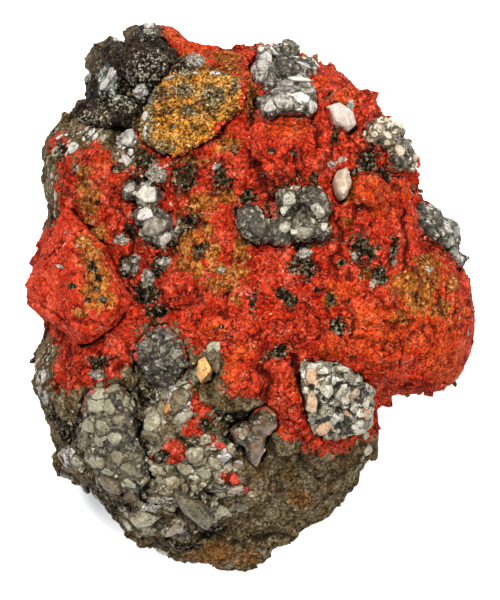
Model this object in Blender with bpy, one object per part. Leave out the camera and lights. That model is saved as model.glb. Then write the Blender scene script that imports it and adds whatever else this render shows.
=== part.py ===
"""A minium specimen: a broken stone of grey-brown matrix that lies on its flat back, with a thick red crust of
minium over its face, and blocks, knobs and crystals of ochre, galena, cerussite and quartz set in both.

The stone's skin is an icosphere drawn out to the outline of its rim. The crust takes the part of that skin that
the red covers and lies in a recess of the matrix. Every block, crystal and lump is a faceted hull. Hulls of one
piece are joined, and every piece is cut back from those before it, so that a hairline gap parts them.
"""

import bisect
import math
import random

import bmesh
import bpy
from mathutils import Vector, noise
from mathutils.bvhtree import BVHTree

# Driving dimensions, in metres.
LENGTH = 0.070
GAP = 0.00035

# The plan values below are in millimetres, drawn for a stone of this length. MM turns them into metres.
PLAN_LENGTH = 70.0
MM = LENGTH / PLAN_LENGTH
PLAN_GAP = GAP / MM

# Heights over the flat back: the crown of the face, and the widest level of the flank, which is higher on the
# side that the red mass overhangs. The skin would close this far below the back, and is cut off flat there.
CROWN_LEVEL = 34.0
RIM_LEVEL = 14.5
RIM_SLOPE = 4.5
RIM_HIGH_SIDE = math.radians(15)
BACK_DEPTH = 2.6

# The rounding of the stone seen from the side, the part of the sphere's half turn that lies over the rim, how
# often the icosphere is divided, and the band along the rim that is divided once more.
SQUARENESS = 2.7
RIM_FALL = math.radians(110)
SKIN_DETAIL = 4
RIM_BAND = math.radians(8)
HALF_LENGTH = PLAN_LENGTH / 2
HALF_WIDTH = 28.2

# The rim, anticlockwise from the right, seen from above.
RIM = [(27.2, -2.5), (26.9, -0.2), (26.4, 2.8), (24.7, 4.4), (23.6, 6.8), (23.1, 9.3), (21.3, 11.2),
    (19.2, 12.9), (18.9, 15.1), (19.5, 16.8), (18.2, 19.5), (17.1, 21.2), (14.5, 21.8), (15.1, 23.9),
    (14.5, 25.0), (12.5, 24.4), (11.6, 26.5), (10.1, 27.8), (8.5, 28.4), (6.1, 29.4), (4.2, 30.9),
    (1.5, 30.8), (-1.2, 30.9), (-2.5, 30.0), (-3.7, 28.6), (-5.4, 29.8), (-7.7, 31.4), (-10.1, 33.5),
    (-12.5, 33.4), (-14.8, 32.9), (-17.0, 31.5), (-18.6, 30.1), (-19.5, 27.8), (-19.9, 25.4),
    (-21.5, 22.1), (-23.9, 20.6), (-25.5, 18.3), (-25.1, 14.8), (-24.3, 10.7), (-24.8, 7.9),
    (-25.0, 5.8), (-25.6, 3.3), (-26.8, 1.0), (-26.0, -1.0), (-24.4, -3.6), (-25.1, -5.3),
    (-27.2, -8.5), (-27.5, -11.0), (-25.5, -12.5), (-25.0, -16.2), (-24.1, -18.7), (-23.3, -20.5),
    (-22.6, -23.4), (-20.1, -25.1), (-18.7, -26.4), (-16.0, -29.0), (-12.4, -30.9), (-10.0, -32.8),
    (-6.1, -33.2), (-4.0, -32.6), (-3.1, -35.0), (-0.2, -35.0), (1.5, -33.8), (3.7, -30.4),
    (6.4, -28.9), (9.4, -27.6), (13.0, -24.2), (13.8, -22.4), (15.2, -20.1), (14.6, -15.5),
    (14.7, -13.1), (17.4, -11.6), (21.8, -11.4), (23.2, -11.1), (24.7, -9.4), (26.2, -7.4),
    (27.1, -5.0)]

# Rises and hollows of the face: across, up, reach and rise. They are, in turn, the pocket in the middle, the
# valley beside the red block, the deep hole over the pale crust, the low brown foot, the slope under the red,
# the seat of the druse, the right-hand and the upper red mass, the seat of the pale crust, and a dark crack.
HILLS = (
    (5.0, 10.1, 4.6, -3.6),
    (-12.5, -0.2, 5.0, -2.4),
    (-13.4, -13.0, 3.0, -3.2),
    (-0.6, -32.8, 9.0, -7.0),
    (11.2, -22.8, 8.0, -3.5),
    (-16.2, 27.9, 6.5, -2.2),
    (21.9, -5.2, 6.5, 2.0),
    (3.8, 19.1, 7.0, 1.6),
    (-17.5, -17.8, 6.0, 1.0),
    (4.4, -6.8, 1.8, -1.6),
)

# Roughness of the broken skin: size of the swells and how far they rise. It fades out below the quiet height.
SWELLS = ((9.5, 1.25), (4.3, 0.6), (2.2, 0.25))
QUIET_HEIGHT = 6.0

# Points of a finished mesh that are nearer than this, in metres, are one. Its flattest faces are merged until
# this share of them is left.
MERGE = 2e-6
THINNING = 0.76

# The red crust, its thickness under the skin, and how far its lip stands over the matrix.
CRUST_THICKNESS = 3.0
CRUST_GAP = 0.5
CRUST_RISE = 1.1
CRUST_DROP = 4.5
CRUST = [(-11.9, 36.5), (10.0, 33.5), (18.8, 28.5), (23.8, 22.2), (31.2, 12.2), (31.2, -15.2),
    (17.8, -14.2), (16.4, -13.2), (15.9, -16.2), (14.5, -17.8), (11.2, -19.2), (9.0, -19.9),
    (6.2, -18.6), (3.9, -17.8), (2.8, -14.5), (1.5, -12.9), (-1.2, -13.0), (-3.5, -11.6), (-4.0, -8.0),
    (-7.5, -6.9), (-8.5, -3.5), (-10.2, -2.5), (-12.2, -2.5), (-13.8, -4.2), (-14.5, -7.2),
    (-16.2, -10.0), (-18.8, -11.4), (-21.8, -12.0), (-25.0, -10.9), (-25.0, -7.8), (-25.5, -4.6),
    (-28.8, -2.8), (-30.0, 4.5), (-27.5, 8.2), (-24.2, 10.0), (-23.8, 13.5), (-24.0, 17.2),
    (-25.4, 19.8), (-23.5, 21.2), (-21.5, 18.9), (-18.8, 19.5), (-16.2, 18.5), (-14.5, 16.5),
    (-12.5, 17.0), (-11.4, 19.8), (-10.8, 23.5), (-9.2, 26.5), (-9.5, 30.2), (-10.4, 32.2)]

# Blocks of one hull: outline, rise over the skin, depth under it, and how far the crown draws in.
MINIUM_BLOCK = ([(-22.8, 11.1), (-21.8, 9.5), (-20.4, 7.4), (-18.6, 5.9), (-17.9, 4.2), (-16.9, 1.6),
    (-15.4, -1.0), (-16.8, -2.4), (-17.6, -3.9), (-20.1, -5.5), (-21.4, -5.6), (-23.6, -4.2),
    (-26.6, -2.1), (-27.9, -0.6), (-28.1, 1.2), (-27.4, 3.2), (-26.6, 4.9), (-24.4, 8.4),
    (-23.5, 10.2)], 3.4, 6.0, 0.16)
OCHRE_BLOCK = ([(-10.5, 27.9), (-6.5, 28.5), (-2.5, 28.2), (-0.6, 27.0), (-0.5, 24.0), (-1.8, 23.1),
    (-4.5, 19.8), (-9.2, 17.6), (-11.6, 18.1), (-13.5, 19.8), (-13.9, 21.4), (-13.5, 23.8),
    (-12.2, 25.9)], 2.4, 2.6, 0.07)
SPECKLED_BLOCK = ([(6.3, -8.2), (10.6, -8.1), (12.6, -9.0), (15.4, -11.2), (15.2, -15.8), (14.2, -16.8),
    (9.6, -17.9), (7.9, -16.9), (6.9, -12.5)], 2.2, 3.0, 0.03)
QUARTZ_PEBBLE = ([(9.5, 23.9), (10.5, 24.2), (11.6, 24.4), (12.8, 23.2), (13.1, 21.8), (12.2, 20.9),
    (11.2, 21.5), (10.2, 22.1)], 1.8, 2.2, 0.35)
QUARTZ_BLADE = ([(10.9, 15.8), (11.9, 16.4), (12.5, 15.8), (12.6, 14.1), (12.1, 12.5), (11.4, 12.1),
    (10.6, 13.0), (10.5, 14.5)], 2.0, 2.2, 0.35)
GREY_LUMP = ([(-14.1, -6.0), (-12.5, -4.0), (-10.0, -3.6), (-8.4, -5.1), (-7.9, -7.5), (-8.6, -9.9),
    (-10.6, -11.0), (-12.8, -10.1), (-14.0, -8.1)], 1.3, 3.0, 0.2)

# Groups of hulls that have grown together. Ovals are given as middle, half length, half width and turn.
GALENA_DRUSE = (
    ((-12.9, 29.6, 3.4, 3.5, 20), 2.6, 7.0, 0.3),
    ([(-16.0, 33.5), (-15.0, 34.4), (-12.2, 35.0), (-11.2, 34.2), (-11.5, 32.2), (-13.8, 31.2),
        (-15.5, 31.8)], 1.4, 7.0, 0.2),
    ([(-19.9, 32.1), (-17.5, 32.9), (-16.0, 32.2), (-15.2, 30.4), (-16.2, 28.5), (-18.1, 27.4),
        (-20.0, 27.2), (-20.9, 28.5), (-20.8, 30.4)], 1.7, 7.0, 0.25),
    ([(-20.8, 28.2), (-18.8, 27.8), (-17.2, 26.2), (-17.8, 24.6), (-19.8, 24.4), (-20.9, 26.0)], 1.2,
        7.0, 0.25),
    ([(-21.8, 24.2), (-20.0, 25.2), (-16.9, 25.8), (-14.4, 25.0), (-13.8, 23.2), (-15.2, 21.8),
        (-18.1, 21.2), (-20.6, 21.8), (-22.4, 23.0)], 1.3, 6.0, 0.25),
    ([(-19.5, 26.2), (-19.0, 27.8), (-17.4, 29.5), (-16.4, 27.4), (-17.2, 25.5),
        (-18.2, 25.0)], 2.8, 3.0, 0.6),
    ([(-14.6, 25.8), (-13.4, 26.6), (-12.5, 26.4), (-13.1, 24.5), (-14.2, 24.2)], 3.0, 3.0, 0.5),
)
CERUSSITE_CLUSTER = (
    ([(0.2, 29.5), (1.4, 31.5), (2.4, 31.4), (2.9, 29.8), (3.5, 27.0), (3.1, 25.6), (1.8, 26.5),
        (0.8, 27.2)], 1.7, 4.5, 0.3),
    ([(2.8, 31.5), (4.9, 32.4), (6.2, 31.8), (6.2, 30.8), (5.6, 29.4), (4.8, 27.0), (3.1, 27.8),
        (2.4, 30.0)], 1.3, 5.5, 0.3),
    ([(4.8, 28.0), (6.0, 30.0), (7.8, 30.2), (8.6, 29.5), (7.0, 27.2)], 1.6, 4.5, 0.35),
    ([(1.5, 25.0), (3.2, 26.8), (4.5, 27.6), (6.2, 27.4), (7.9, 26.5), (8.2, 25.2), (8.4, 23.5),
        (7.8, 23.1), (6.2, 23.8), (4.5, 24.0), (3.0, 23.2)], 2.5, 3.5, 0.3),
    ([(1.0, 25.0), (2.8, 25.6), (4.3, 24.3), (3.0, 22.2), (1.6, 22.4)], 1.9, 3.5, 0.3),
)
CERUSSITE_KNOB = (
    ([(15.1, 21.8), (16.2, 22.5), (17.8, 22.5), (18.8, 21.5), (19.2, 20.2), (18.5, 19.0), (17.0, 18.8),
        (15.8, 19.5), (14.9, 20.5)], 2.0, 5.5, 0.3),
    ([(17.5, 20.0), (19.8, 20.1), (20.9, 18.2), (21.1, 16.8), (20.2, 16.2), (18.8, 16.4),
        (17.8, 17.8)], 1.6, 5.5, 0.3),
)
CERUSSITE_SPUR = (
    ([(21.1, 11.8), (22.8, 11.9), (24.1, 11.0), (24.1, 9.0), (23.0, 7.4), (21.6, 8.2),
        (21.0, 10.1)], 1.6, 4.5, 0.3),
    ([(23.2, 10.5), (25.9, 9.2), (26.1, 7.2), (26.2, 6.0), (24.9, 6.1), (23.1, 7.8)], 1.4, 4.5, 0.3),
    ([(24.8, 7.0), (27.0, 5.4), (26.6, 4.0), (25.4, 4.5)], 0.8, 4.5, 0.3),
)
POCKET_CLUSTER = (
    ([(-1.5, 11.2), (0.0, 11.8), (1.5, 10.8), (3.0, 9.0), (2.8, 7.5), (1.0, 7.0), (-0.6, 7.8),
        (-1.6, 9.5)], 2.4, 2.6, 0.3),
    ([(3.2, 12.5), (4.5, 13.8), (5.8, 13.5), (6.0, 11.5), (5.1, 10.0), (3.5, 10.2)], 1.8, 2.6, 0.5),
    ([(5.8, 12.8), (7.5, 14.0), (9.5, 13.1), (10.0, 10.8), (9.1, 9.2), (6.5, 10.1)], 2.2, 2.6, 0.3),
    ([(5.0, 8.9), (6.0, 10.6), (7.8, 10.2), (8.4, 8.2), (7.2, 6.9), (5.5, 7.0)], 2.8, 2.6, 0.3),
    ((9.0, 8.4, 1.1, 1.1, 0), 1.6, 2.6, 0.4),
    ([(1.8, 9.0), (4.2, 11.2), (6.2, 10.0), (5.5, 7.0), (3.2, 6.4), (1.8, 7.2)], 1.2, 2.6, 0.3),
)
CERUSSITE_CRUST = (
    ([(-20.5, -11.9), (-16.6, -10.9), (-14.6, -12.8), (-14.6, -15.2), (-14.2, -18.0), (-17.0, -19.2),
        (-19.8, -18.2), (-21.0, -16.0), (-20.8, -13.8)], 1.3, 3.0, 0.12),
    ([(-19.8, -17.2), (-15.2, -16.8), (-13.5, -19.2), (-12.8, -22.5), (-14.0, -24.1), (-15.6, -23.6),
        (-18.0, -21.6), (-19.9, -19.8)], 1.3, 3.0, 0.15),
)
QUARTZ_CLUSTER = (
    ([(-0.5, -15.8), (0.6, -14.1), (2.1, -13.4), (3.1, -14.2), (3.4, -15.8), (2.4, -17.0),
        (0.5, -17.5)], 2.4, 2.4, 0.4),
    ([(-2.4, -16.2), (-0.5, -15.5), (0.9, -17.2), (-0.5, -18.6), (-1.9, -18.1)], 1.8, 2.4, 0.4),
    ([(-0.4, -17.2), (2.0, -16.8), (1.6, -19.2), (0.8, -21.1), (-0.1, -20.5),
        (-0.5, -19.0)], 1.8, 2.4, 0.4),
)
CERUSSITE_VEIN = (
    ((-14.9, 13.2, 1.1, 1.2, 0), 1.3, 2.4, 0.35),
    ([(-14.4, 13.2), (-13.0, 14.2), (-11.5, 13.4), (-11.1, 12.1), (-12.5, 11.0),
        (-14.1, 11.4)], 1.7, 2.4, 0.35),
    ((-13.0, 10.4, 1.5, 1.5, 0), 1.4, 2.4, 0.35),
    ((-12.0, 8.1, 1.6, 1.4, 30), 1.6, 2.4, 0.35),
    ((-10.8, 9.5, 1.1, 1.4, 0), 1.4, 2.4, 0.35),
)

# Lumps that belong to the crust and to the matrix.
CRUST_LUMPS = (
    ([(-3.5, -9.4), (-2.2, -8.0), (0.2, -7.9), (1.8, -9.2), (1.6, -11.8), (-0.6, -12.6),
        (-3.0, -12.0)], 1.6, 1.6, 0.3),
    ([(3.1, -8.5), (4.2, -6.8), (5.9, -8.0), (6.2, -10.2), (4.8, -11.2), (3.2, -10.2)], 1.3, 1.6, 0.35),
    ([(3.5, -11.2), (5.2, -10.4), (6.6, -11.1), (6.9, -13.2), (6.9, -16.0), (5.2, -16.8),
        (4.0, -14.8)], 1.7, 1.6, 0.3),
    ([(5.6, -6.4), (7.0, -5.0), (9.0, -5.2), (9.9, -6.5), (9.0, -7.9), (6.5, -7.9)], 1.6, 1.6, 0.35),
    ([(-11.0, 1.5), (-9.8, 3.4), (-7.8, 3.2), (-6.6, 1.5), (-7.5, -0.4), (-9.8, -0.6)], 1.5, 1.6, 0.35),
    ([(12.5, 13.2), (14.0, 15.4), (16.2, 15.6), (17.9, 14.2), (17.4, 12.5), (14.8, 11.2),
        (12.8, 11.5)], 2.0, 1.6, 0.35),
    ([(1.0, 18.5), (2.5, 21.0), (5.8, 21.2), (6.8, 18.5), (5.8, 14.8), (2.5, 14.2),
        (0.8, 16.2)], 1.2, 1.6, 0.25),
    ([(-20.8, 16.0), (-19.8, 18.2), (-17.2, 18.2), (-16.4, 16.5), (-18.0, 14.5),
        (-20.0, 14.2)], 1.3, 1.6, 0.35),
    ([(-20.2, -7.2), (-18.0, -5.2), (-15.2, -3.5), (-13.9, -4.5), (-15.0, -6.5), (-17.2, -8.0),
        (-19.5, -8.2)], 1.2, 1.6, 0.3),
    ([(13.2, 25.8), (14.8, 26.1), (16.1, 25.2), (15.8, 23.5), (14.9, 22.0), (13.5, 23.2)], 1.0, 4.0, 0.3),
    ([(11.2, 10.0), (13.0, 10.8), (15.2, 7.2), (15.0, 4.5), (12.5, 4.2), (10.8, 7.0)], 1.1, 1.6, 0.3),
    ([(18.5, 10.8), (20.2, 11.5), (21.5, 7.2), (21.0, 3.2), (19.0, 3.5)], 1.2, 1.6, 0.4),
    ([(-6.2, -0.2), (-3.5, 0.8), (-1.5, -1.5), (-2.5, -4.8), (-5.5, -5.0), (-7.0, -2.8)], 1.0, 1.6, 0.35),
)
MATRIX_LUMPS = (
    ((-17.6, -23.6, 1.8, 1.8, 0), 1.4, 2.0, 0.35),
    ([(-13.6, -24.5), (-11.2, -23.5), (-8.6, -24.2), (-8.4, -26.1), (-9.8, -27.4), (-12.0, -27.2),
        (-13.4, -26.1)], 1.5, 2.0, 0.25),
    ([(-8.4, -24.1), (-6.9, -23.5), (-4.6, -25.1), (-4.1, -27.2), (-5.4, -29.5), (-6.5, -29.4),
        (-7.5, -27.5)], 1.9, 2.0, 0.35),
    ([(-13.6, -15.2), (-11.8, -14.2), (-10.1, -15.8), (-10.4, -17.9), (-12.5, -18.5),
        (-13.8, -17.2)], 1.4, 2.0, 0.35),
    ([(-16.1, -26.9), (-13.8, -26.2), (-12.1, -27.8), (-12.5, -29.6), (-14.5, -29.6),
        (-16.0, -28.4)], 1.4, 2.0, 0.3),
    ([(-10.4, -27.6), (-9.0, -26.8), (-8.2, -28.2), (-8.8, -30.2), (-9.8, -31.8),
        (-10.5, -29.8)], 1.6, 2.0, 0.35),
    ([(-11.1, -12.5), (-9.2, -11.8), (-7.5, -13.0), (-8.0, -15.2), (-9.8, -16.5),
        (-11.1, -15.2)], 1.3, 2.0, 0.35),
    ([(-8.0, -18.2), (-6.8, -17.8), (-5.5, -19.0), (-5.8, -20.8), (-7.0, -21.2),
        (-8.1, -20.0)], 1.3, 2.0, 0.35),
    ((-5.8, -9.1, 1.1, 1.5, 15), 1.5, 2.0, 0.4),
    ((-23.5, -20.5, 1.5, 1.9, 20), 1.2, 3.0, 0.35),
    ((-3.5, -23.5, 2.8, 1.8, 20), 0.9, 2.0, 0.35),
)

# Pebbles that break the flank at random: how many, their half size, rise and depth.
FLANK_PEBBLES = 20
PEBBLE_SIZE = (1.5, 3.4)
PEBBLE_RISE = 0.9
PEBBLE_DEPTH = 2.0
PEBBLE_SEED = 11
PEBBLE_CORNERS = 6
PEBBLE_FLOOR = 1.2
PEBBLE_FALL = (math.radians(95), math.radians(140))

# How far a hull's corners are thrown off their outline, and how far its root draws in.
CORNER_THROW = 0.22
ROOT_DRAW = 0.22
OVAL_CORNERS = 8
CROWN_MID = 0.45
CROWN_BULGE = 1.1
SEAT_STEPS = 12
SEAT_SLOPE = 1.0

# Colour, roughness and metallic value of each material, as the photo shows them.
FINISHES = {
    "matrix": ((0.16, 0.13, 0.09), 0.9, 0.0),
    "minium": ((0.62, 0.06, 0.02), 0.8, 0.0),
    "ochre": ((0.42, 0.20, 0.05), 0.9, 0.0),
    "galena": ((0.06, 0.055, 0.05), 0.5, 0.3),
    "cerussite": ((0.55, 0.52, 0.44), 0.5, 0.0),
    "quartz": ((0.60, 0.53, 0.45), 0.3, 0.0),
    "gangue": ((0.45, 0.42, 0.34), 0.7, 0.0),
}


def oval(x, y, half_length, half_width, turn):
    """An oval outline round a point of the plan, turned by degrees."""
    lean = math.radians(turn)
    corners = []
    for step in range(OVAL_CORNERS):
        angle = 2 * math.pi * step / OVAL_CORNERS
        along = half_length * math.cos(angle)
        across = half_width * math.sin(angle)
        corners.append(
            (
                x + along * math.cos(lean) - across * math.sin(lean),
                y + along * math.sin(lean) + across * math.cos(lean),
            )
        )
    return corners


def rim_radius(angle):
    """How far the rim is from the stone's middle in one direction."""
    ray_x, ray_y = math.cos(angle), math.sin(angle)
    reaches = []
    for (x, y), (next_x, next_y) in zip(RIM, RIM[1:] + RIM[:1]):
        edge_x, edge_y = next_x - x, next_y - y
        across = ray_x * edge_y - ray_y * edge_x
        if abs(across) < 1e-9:
            continue
        reach = (x * edge_y - y * edge_x) / across
        share = (x * ray_y - y * ray_x) / across
        if reach > 0 and -1e-6 <= share <= 1 + 1e-6:
            reaches.append(reach)
    return max(reaches)


def inside(x, y, outline):
    """Whether a point of the plan lies inside an outline."""
    found = False
    for (x0, y0), (x1, y1) in zip(outline, outline[1:] + outline[:1]):
        if (y0 > y) != (y1 > y) and x < x0 + (x1 - x0) * (y - y0) / (y1 - y0):
            found = not found
    return found


class Arc:
    """A squarish quarter arc from the crown, out 0 and up 1, to the rim, out 1 and up 0."""

    STEPS = 90

    def __init__(self, reach, rise):
        power = 2 / SQUARENESS
        turns = [math.pi / 2 * step / self.STEPS for step in range(self.STEPS + 1)]
        self.points = [(math.sin(turn) ** power, max(math.cos(turn), 0) ** power) for turn in turns]
        self.ways = [0.0]
        for (out, up), (next_out, next_up) in zip(self.points, self.points[1:]):
            self.ways.append(self.ways[-1] + math.hypot((next_out - out) * reach, (next_up - up) * rise))

    def at(self, share):
        """The point this share of the way along the arc."""
        way = share * self.ways[-1]
        after = min(max(bisect.bisect_left(self.ways, way), 1), self.STEPS)
        part = (way - self.ways[after - 1]) / (self.ways[after] - self.ways[after - 1])
        (out, up), (next_out, next_up) = self.points[after - 1], self.points[after]
        return out + (next_out - out) * part, up + (next_up - up) * part


FACE_ARC = Arc((HALF_LENGTH + HALF_WIDTH) / 2, CROWN_LEVEL - RIM_LEVEL)
BACK_ARC = Arc((HALF_LENGTH + HALF_WIDTH) / 2, RIM_LEVEL + BACK_DEPTH)


def rim_level(angle):
    return RIM_LEVEL + RIM_SLOPE * math.cos(angle - RIM_HIGH_SIDE)


def skin(direction):
    """The skin's point in this direction of the sphere, with the outward direction there."""
    angle = math.atan2(direction.y, direction.x)
    level = rim_level(angle)
    fall = math.acos(max(-1.0, min(1.0, direction.z)))
    on_face = fall < RIM_FALL
    if on_face:
        out, up = FACE_ARC.at(fall / RIM_FALL)
        height = level + (CROWN_LEVEL - level) * up
    else:
        out, up = BACK_ARC.at((math.pi - fall) / (math.pi - RIM_FALL))
        height = level - (level + BACK_DEPTH) * up
    reach = rim_radius(angle) * out
    point = Vector((reach * math.cos(angle), reach * math.sin(angle), height))
    outward = outward_at(*point)
    if on_face:
        for x, y, width, rise in HILLS:
            away = ((point.x - x) ** 2 + (point.y - y) ** 2) / width**2
            point.z += rise * math.exp(-away) * min(1.0, up * 1.6)
    swell = sum(noise.noise(point / size) * rise for size, rise in SWELLS)
    return point + outward * swell * min(1.0, max(0.0, point.z / QUIET_HEIGHT)), outward


def covered(point):
    """Whether the crust lies over this point of the skin."""
    low = rim_level(math.atan2(point.y, point.x)) - CRUST_DROP
    return point.z > low and inside(point.x, point.y, CRUST)


def sphere():
    """The icosphere that matrix and crust are both drawn out from, finer along the rim."""
    ball = bmesh.new()
    bmesh.ops.create_icosphere(ball, subdivisions=SKIN_DETAIL, radius=1.0)
    low, high = math.cos(RIM_FALL + RIM_BAND), math.cos(RIM_FALL - RIM_BAND)
    band = [edge for edge in ball.edges if all(low < vertex.co.z < high for vertex in edge.verts)]
    bmesh.ops.subdivide_edges(ball, edges=band, cuts=1, use_grid_fill=True)
    bmesh.ops.triangulate(ball, faces=ball.faces)
    for vertex in ball.verts:
        vertex.co.normalize()
    return ball


def matrix_stone():
    """The stone with the crust's recess in its face, cut off flat at the back."""
    stone = sphere()
    for vertex in stone.verts:
        point, outward = skin(vertex.co)
        drop = CRUST_THICKNESS + CRUST_GAP if covered(point) else 0.0
        vertex.co = (point - outward * drop) * MM
    cut = bmesh.ops.bisect_plane(
        stone,
        geom=stone.verts[:] + stone.edges[:] + stone.faces[:],
        plane_co=(0, 0, 0),
        plane_no=(0, 0, 1),
        clear_inner=True,
    )
    rim = [part for part in cut["geom_cut"] if isinstance(part, bmesh.types.BMEdge)]
    bmesh.ops.holes_fill(stone, edges=rim, sides=0)
    return stone


def border_edges(vertex, chosen):
    """How many of the vertex's edges have a chosen face on one side only."""
    return sum(len(chosen.intersection(edge.link_faces)) == 1 for edge in vertex.link_edges)


def crust_sheet():
    """The crust before its lumps: it fills the recess, and its lip lies just over the matrix."""
    sheet = sphere()
    skins = {vertex: skin(vertex.co) for vertex in sheet.verts}
    core = {vertex for vertex, (point, outward) in skins.items() if covered(point)}
    chosen = {face for face in sheet.faces if core.intersection(face.verts)}
    pinched = True
    while pinched:
        pinched = [vertex for vertex in sheet.verts if border_edges(vertex, chosen) > 2]
        chosen.update(face for vertex in pinched for face in vertex.link_faces)
    bmesh.ops.delete(sheet, geom=[face for face in sheet.faces if face not in chosen], context="FACES")
    keep_largest(sheet)
    under = {vertex: skins[vertex] for vertex in sheet.verts}
    core &= set(under)
    over = {vertex.co.to_tuple(): fact for vertex, fact in under.items()}
    made = bmesh.ops.extrude_face_region(sheet, geom=sheet.faces[:], use_keep_orig=True)
    for vertex in [part for part in made["geom"] if isinstance(part, bmesh.types.BMVert)]:
        point, outward = over[vertex.co.to_tuple()]
        vertex.co = (point + outward * CRUST_RISE) * MM
    for vertex, (point, outward) in under.items():
        drop = CRUST_THICKNESS if vertex in core else -CRUST_GAP
        vertex.co = (point - outward * drop) * MM
    bmesh.ops.recalc_face_normals(sheet, faces=sheet.faces[:])
    return sheet


def keep_largest(body):
    """Leaves only the body's piece with the most faces."""
    left = set(body.faces)
    largest = set()
    while left:
        piece, edge_of = set(), [left.pop()]
        while edge_of:
            face = edge_of.pop()
            piece.add(face)
            for edge in face.edges:
                for other in edge.link_faces:
                    if other in left:
                        left.remove(other)
                        edge_of.append(other)
        if len(piece) > len(largest):
            largest = piece
    bmesh.ops.delete(body, geom=[face for face in body.faces if face not in largest], context="FACES")
    bmesh.ops.delete(body, geom=[vertex for vertex in body.verts if not vertex.link_faces], context="VERTS")


def skin_tree():
    """The skin as a tree for finding how high it lies, with the crust's rise where the crust is."""
    ball = sphere()
    for vertex in ball.verts:
        point, outward = skin(vertex.co)
        vertex.co = point + outward * (CRUST_RISE if covered(point) else 0.0)
    tree = BVHTree.FromBMesh(ball)
    ball.free()
    return tree


def seat(x, y, middle):
    """How high the skin lies at a point of the plan, or at the nearest one towards the middle that is over it."""
    for step in range(SEAT_STEPS):
        share = step / SEAT_STEPS
        start = Vector((x + (middle[0] - x) * share, y + (middle[1] - y) * share, 2 * CROWN_LEVEL))
        found = SKIN_TREE.ray_cast(start, Vector((0, 0, -1)))[0]
        if found is not None:
            return found.z
    return RIM_LEVEL


def outward_at(x, y, height):
    """The direction that leads out of the stone at a point near its skin."""
    lift = (height - rim_level(math.atan2(y, x))) / (CROWN_LEVEL - RIM_LEVEL) ** 2
    return Vector((x / HALF_WIDTH**2, y / HALF_LENGTH**2, lift)).normalized()


def block_points(shape, chance):
    """The corners of a block that sits in the skin: its crown rises straight up and its root goes inwards."""
    outline, rise, depth, draw = shape
    ring = outline if isinstance(outline, list) else oval(*outline)
    middle = (sum(x for x, y in ring) / len(ring), sum(y for x, y in ring) / len(ring))
    bed = seat(*middle, middle)
    levels = (
        (Vector((0, 0, rise)), draw),
        (Vector((0, 0, rise * CROWN_MID)), 0.0),
        (outward_at(*middle, bed) * -depth, ROOT_DRAW),
    )
    points = [Vector((middle[0], middle[1], bed + rise * CROWN_BULGE))]
    for x, y in ring:
        fall = SEAT_SLOPE * math.hypot(x - middle[0], y - middle[1])
        height = max(seat(x, y, middle), bed - fall)
        for way, inward in levels:
            throw = Vector((chance.uniform(-1, 1), chance.uniform(-1, 1), chance.uniform(-1, 1)))
            corner = Vector((x + (middle[0] - x) * inward, y + (middle[1] - y) * inward, height))
            points.append(corner + way + throw * CORNER_THROW)
    return points


def pebble_points(chance):
    """The corners of a pebble that breaks the flank somewhere between the crust and the back."""
    points = []
    while not points or any(covered(point) or point.z < PEBBLE_FLOOR for point in points):
        points = loose_pebble_points(chance)
    return points


def loose_pebble_points(chance):
    """The corners of a pebble somewhere on the flank."""
    around = chance.uniform(0, 2 * math.pi)
    fall = chance.uniform(*PEBBLE_FALL)
    level = math.sin(fall)
    point, outward = skin(Vector((level * math.cos(around), level * math.sin(around), math.cos(fall))))
    size = chance.uniform(*PEBBLE_SIZE)
    frame = outward.to_track_quat("Z", "Y").to_matrix()
    points = []
    for step in range(PEBBLE_CORNERS):
        angle = 2 * math.pi * (step + chance.uniform(-0.25, 0.25)) / PEBBLE_CORNERS
        reach = size * chance.uniform(0.75, 1.1)
        for lift, share in ((PEBBLE_RISE, 0.6), (0.3 * PEBBLE_RISE, 1.0), (-PEBBLE_DEPTH, 0.8)):
            side = Vector((reach * share * math.cos(angle), reach * share * math.sin(angle), lift))
            points.append(point + frame @ side)
    return points


def hull(points):
    """The convex hull of points of the plan."""
    body = bmesh.new()
    corners = [body.verts.new(point * MM) for point in points]
    made = bmesh.ops.convex_hull(body, input=corners)
    inner = made["geom_interior"] + made["geom_unused"]
    spare = {part for part in inner if isinstance(part, bmesh.types.BMVert)}
    bmesh.ops.delete(body, geom=list(spare), context="VERTS")
    bmesh.ops.recalc_face_normals(body, faces=body.faces[:])
    return body


def socket(points):
    """The hull that a block's neighbours are cut with: the block's own, wider by the gap all round."""
    block = hull(points)
    block.normal_update()
    wider = [(corner.co + corner.normal * GAP * corner.calc_shell_factor()) / MM for corner in block.verts]
    block.free()
    return hull(wider)


def as_object(body, name, collection):
    mesh = bpy.data.meshes.new(name)
    body.to_mesh(mesh)
    body.free()
    made = bpy.data.objects.new(name, mesh)
    collection.objects.link(made)
    return made


def combined(target, tools, operation):
    """The target object joined with tool bodies, or cut by them."""
    if not tools:
        return target
    bench = bpy.data.collections.new("bench")
    bpy.context.scene.collection.children.link(bench)
    for number, tool in enumerate(tools):
        as_object(tool, f"tool_{number}", bench)
    modifier = target.modifiers.new(operation.lower(), "BOOLEAN")
    modifier.operation = operation
    modifier.solver = "EXACT"
    modifier.operand_type = "COLLECTION"
    modifier.collection = bench
    graph = bpy.context.evaluated_depsgraph_get()
    mesh = bpy.data.meshes.new_from_object(target.evaluated_get(graph))
    target.modifiers.clear()
    old = target.data
    target.data = mesh
    bpy.data.meshes.remove(old)
    for tool in list(bench.objects):
        bpy.data.meshes.remove(tool.data)
    bpy.data.collections.remove(bench)
    return target


def thin(made, share):
    """Merges the object's flattest faces until this share of them is left."""
    modifier = made.modifiers.new("thin", "DECIMATE")
    modifier.ratio = share
    modifier.use_collapse_triangulate = True
    graph = bpy.context.evaluated_depsgraph_get()
    mesh = bpy.data.meshes.new_from_object(made.evaluated_get(graph))
    made.modifiers.clear()
    old = made.data
    made.data = mesh
    bpy.data.meshes.remove(old)


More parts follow.
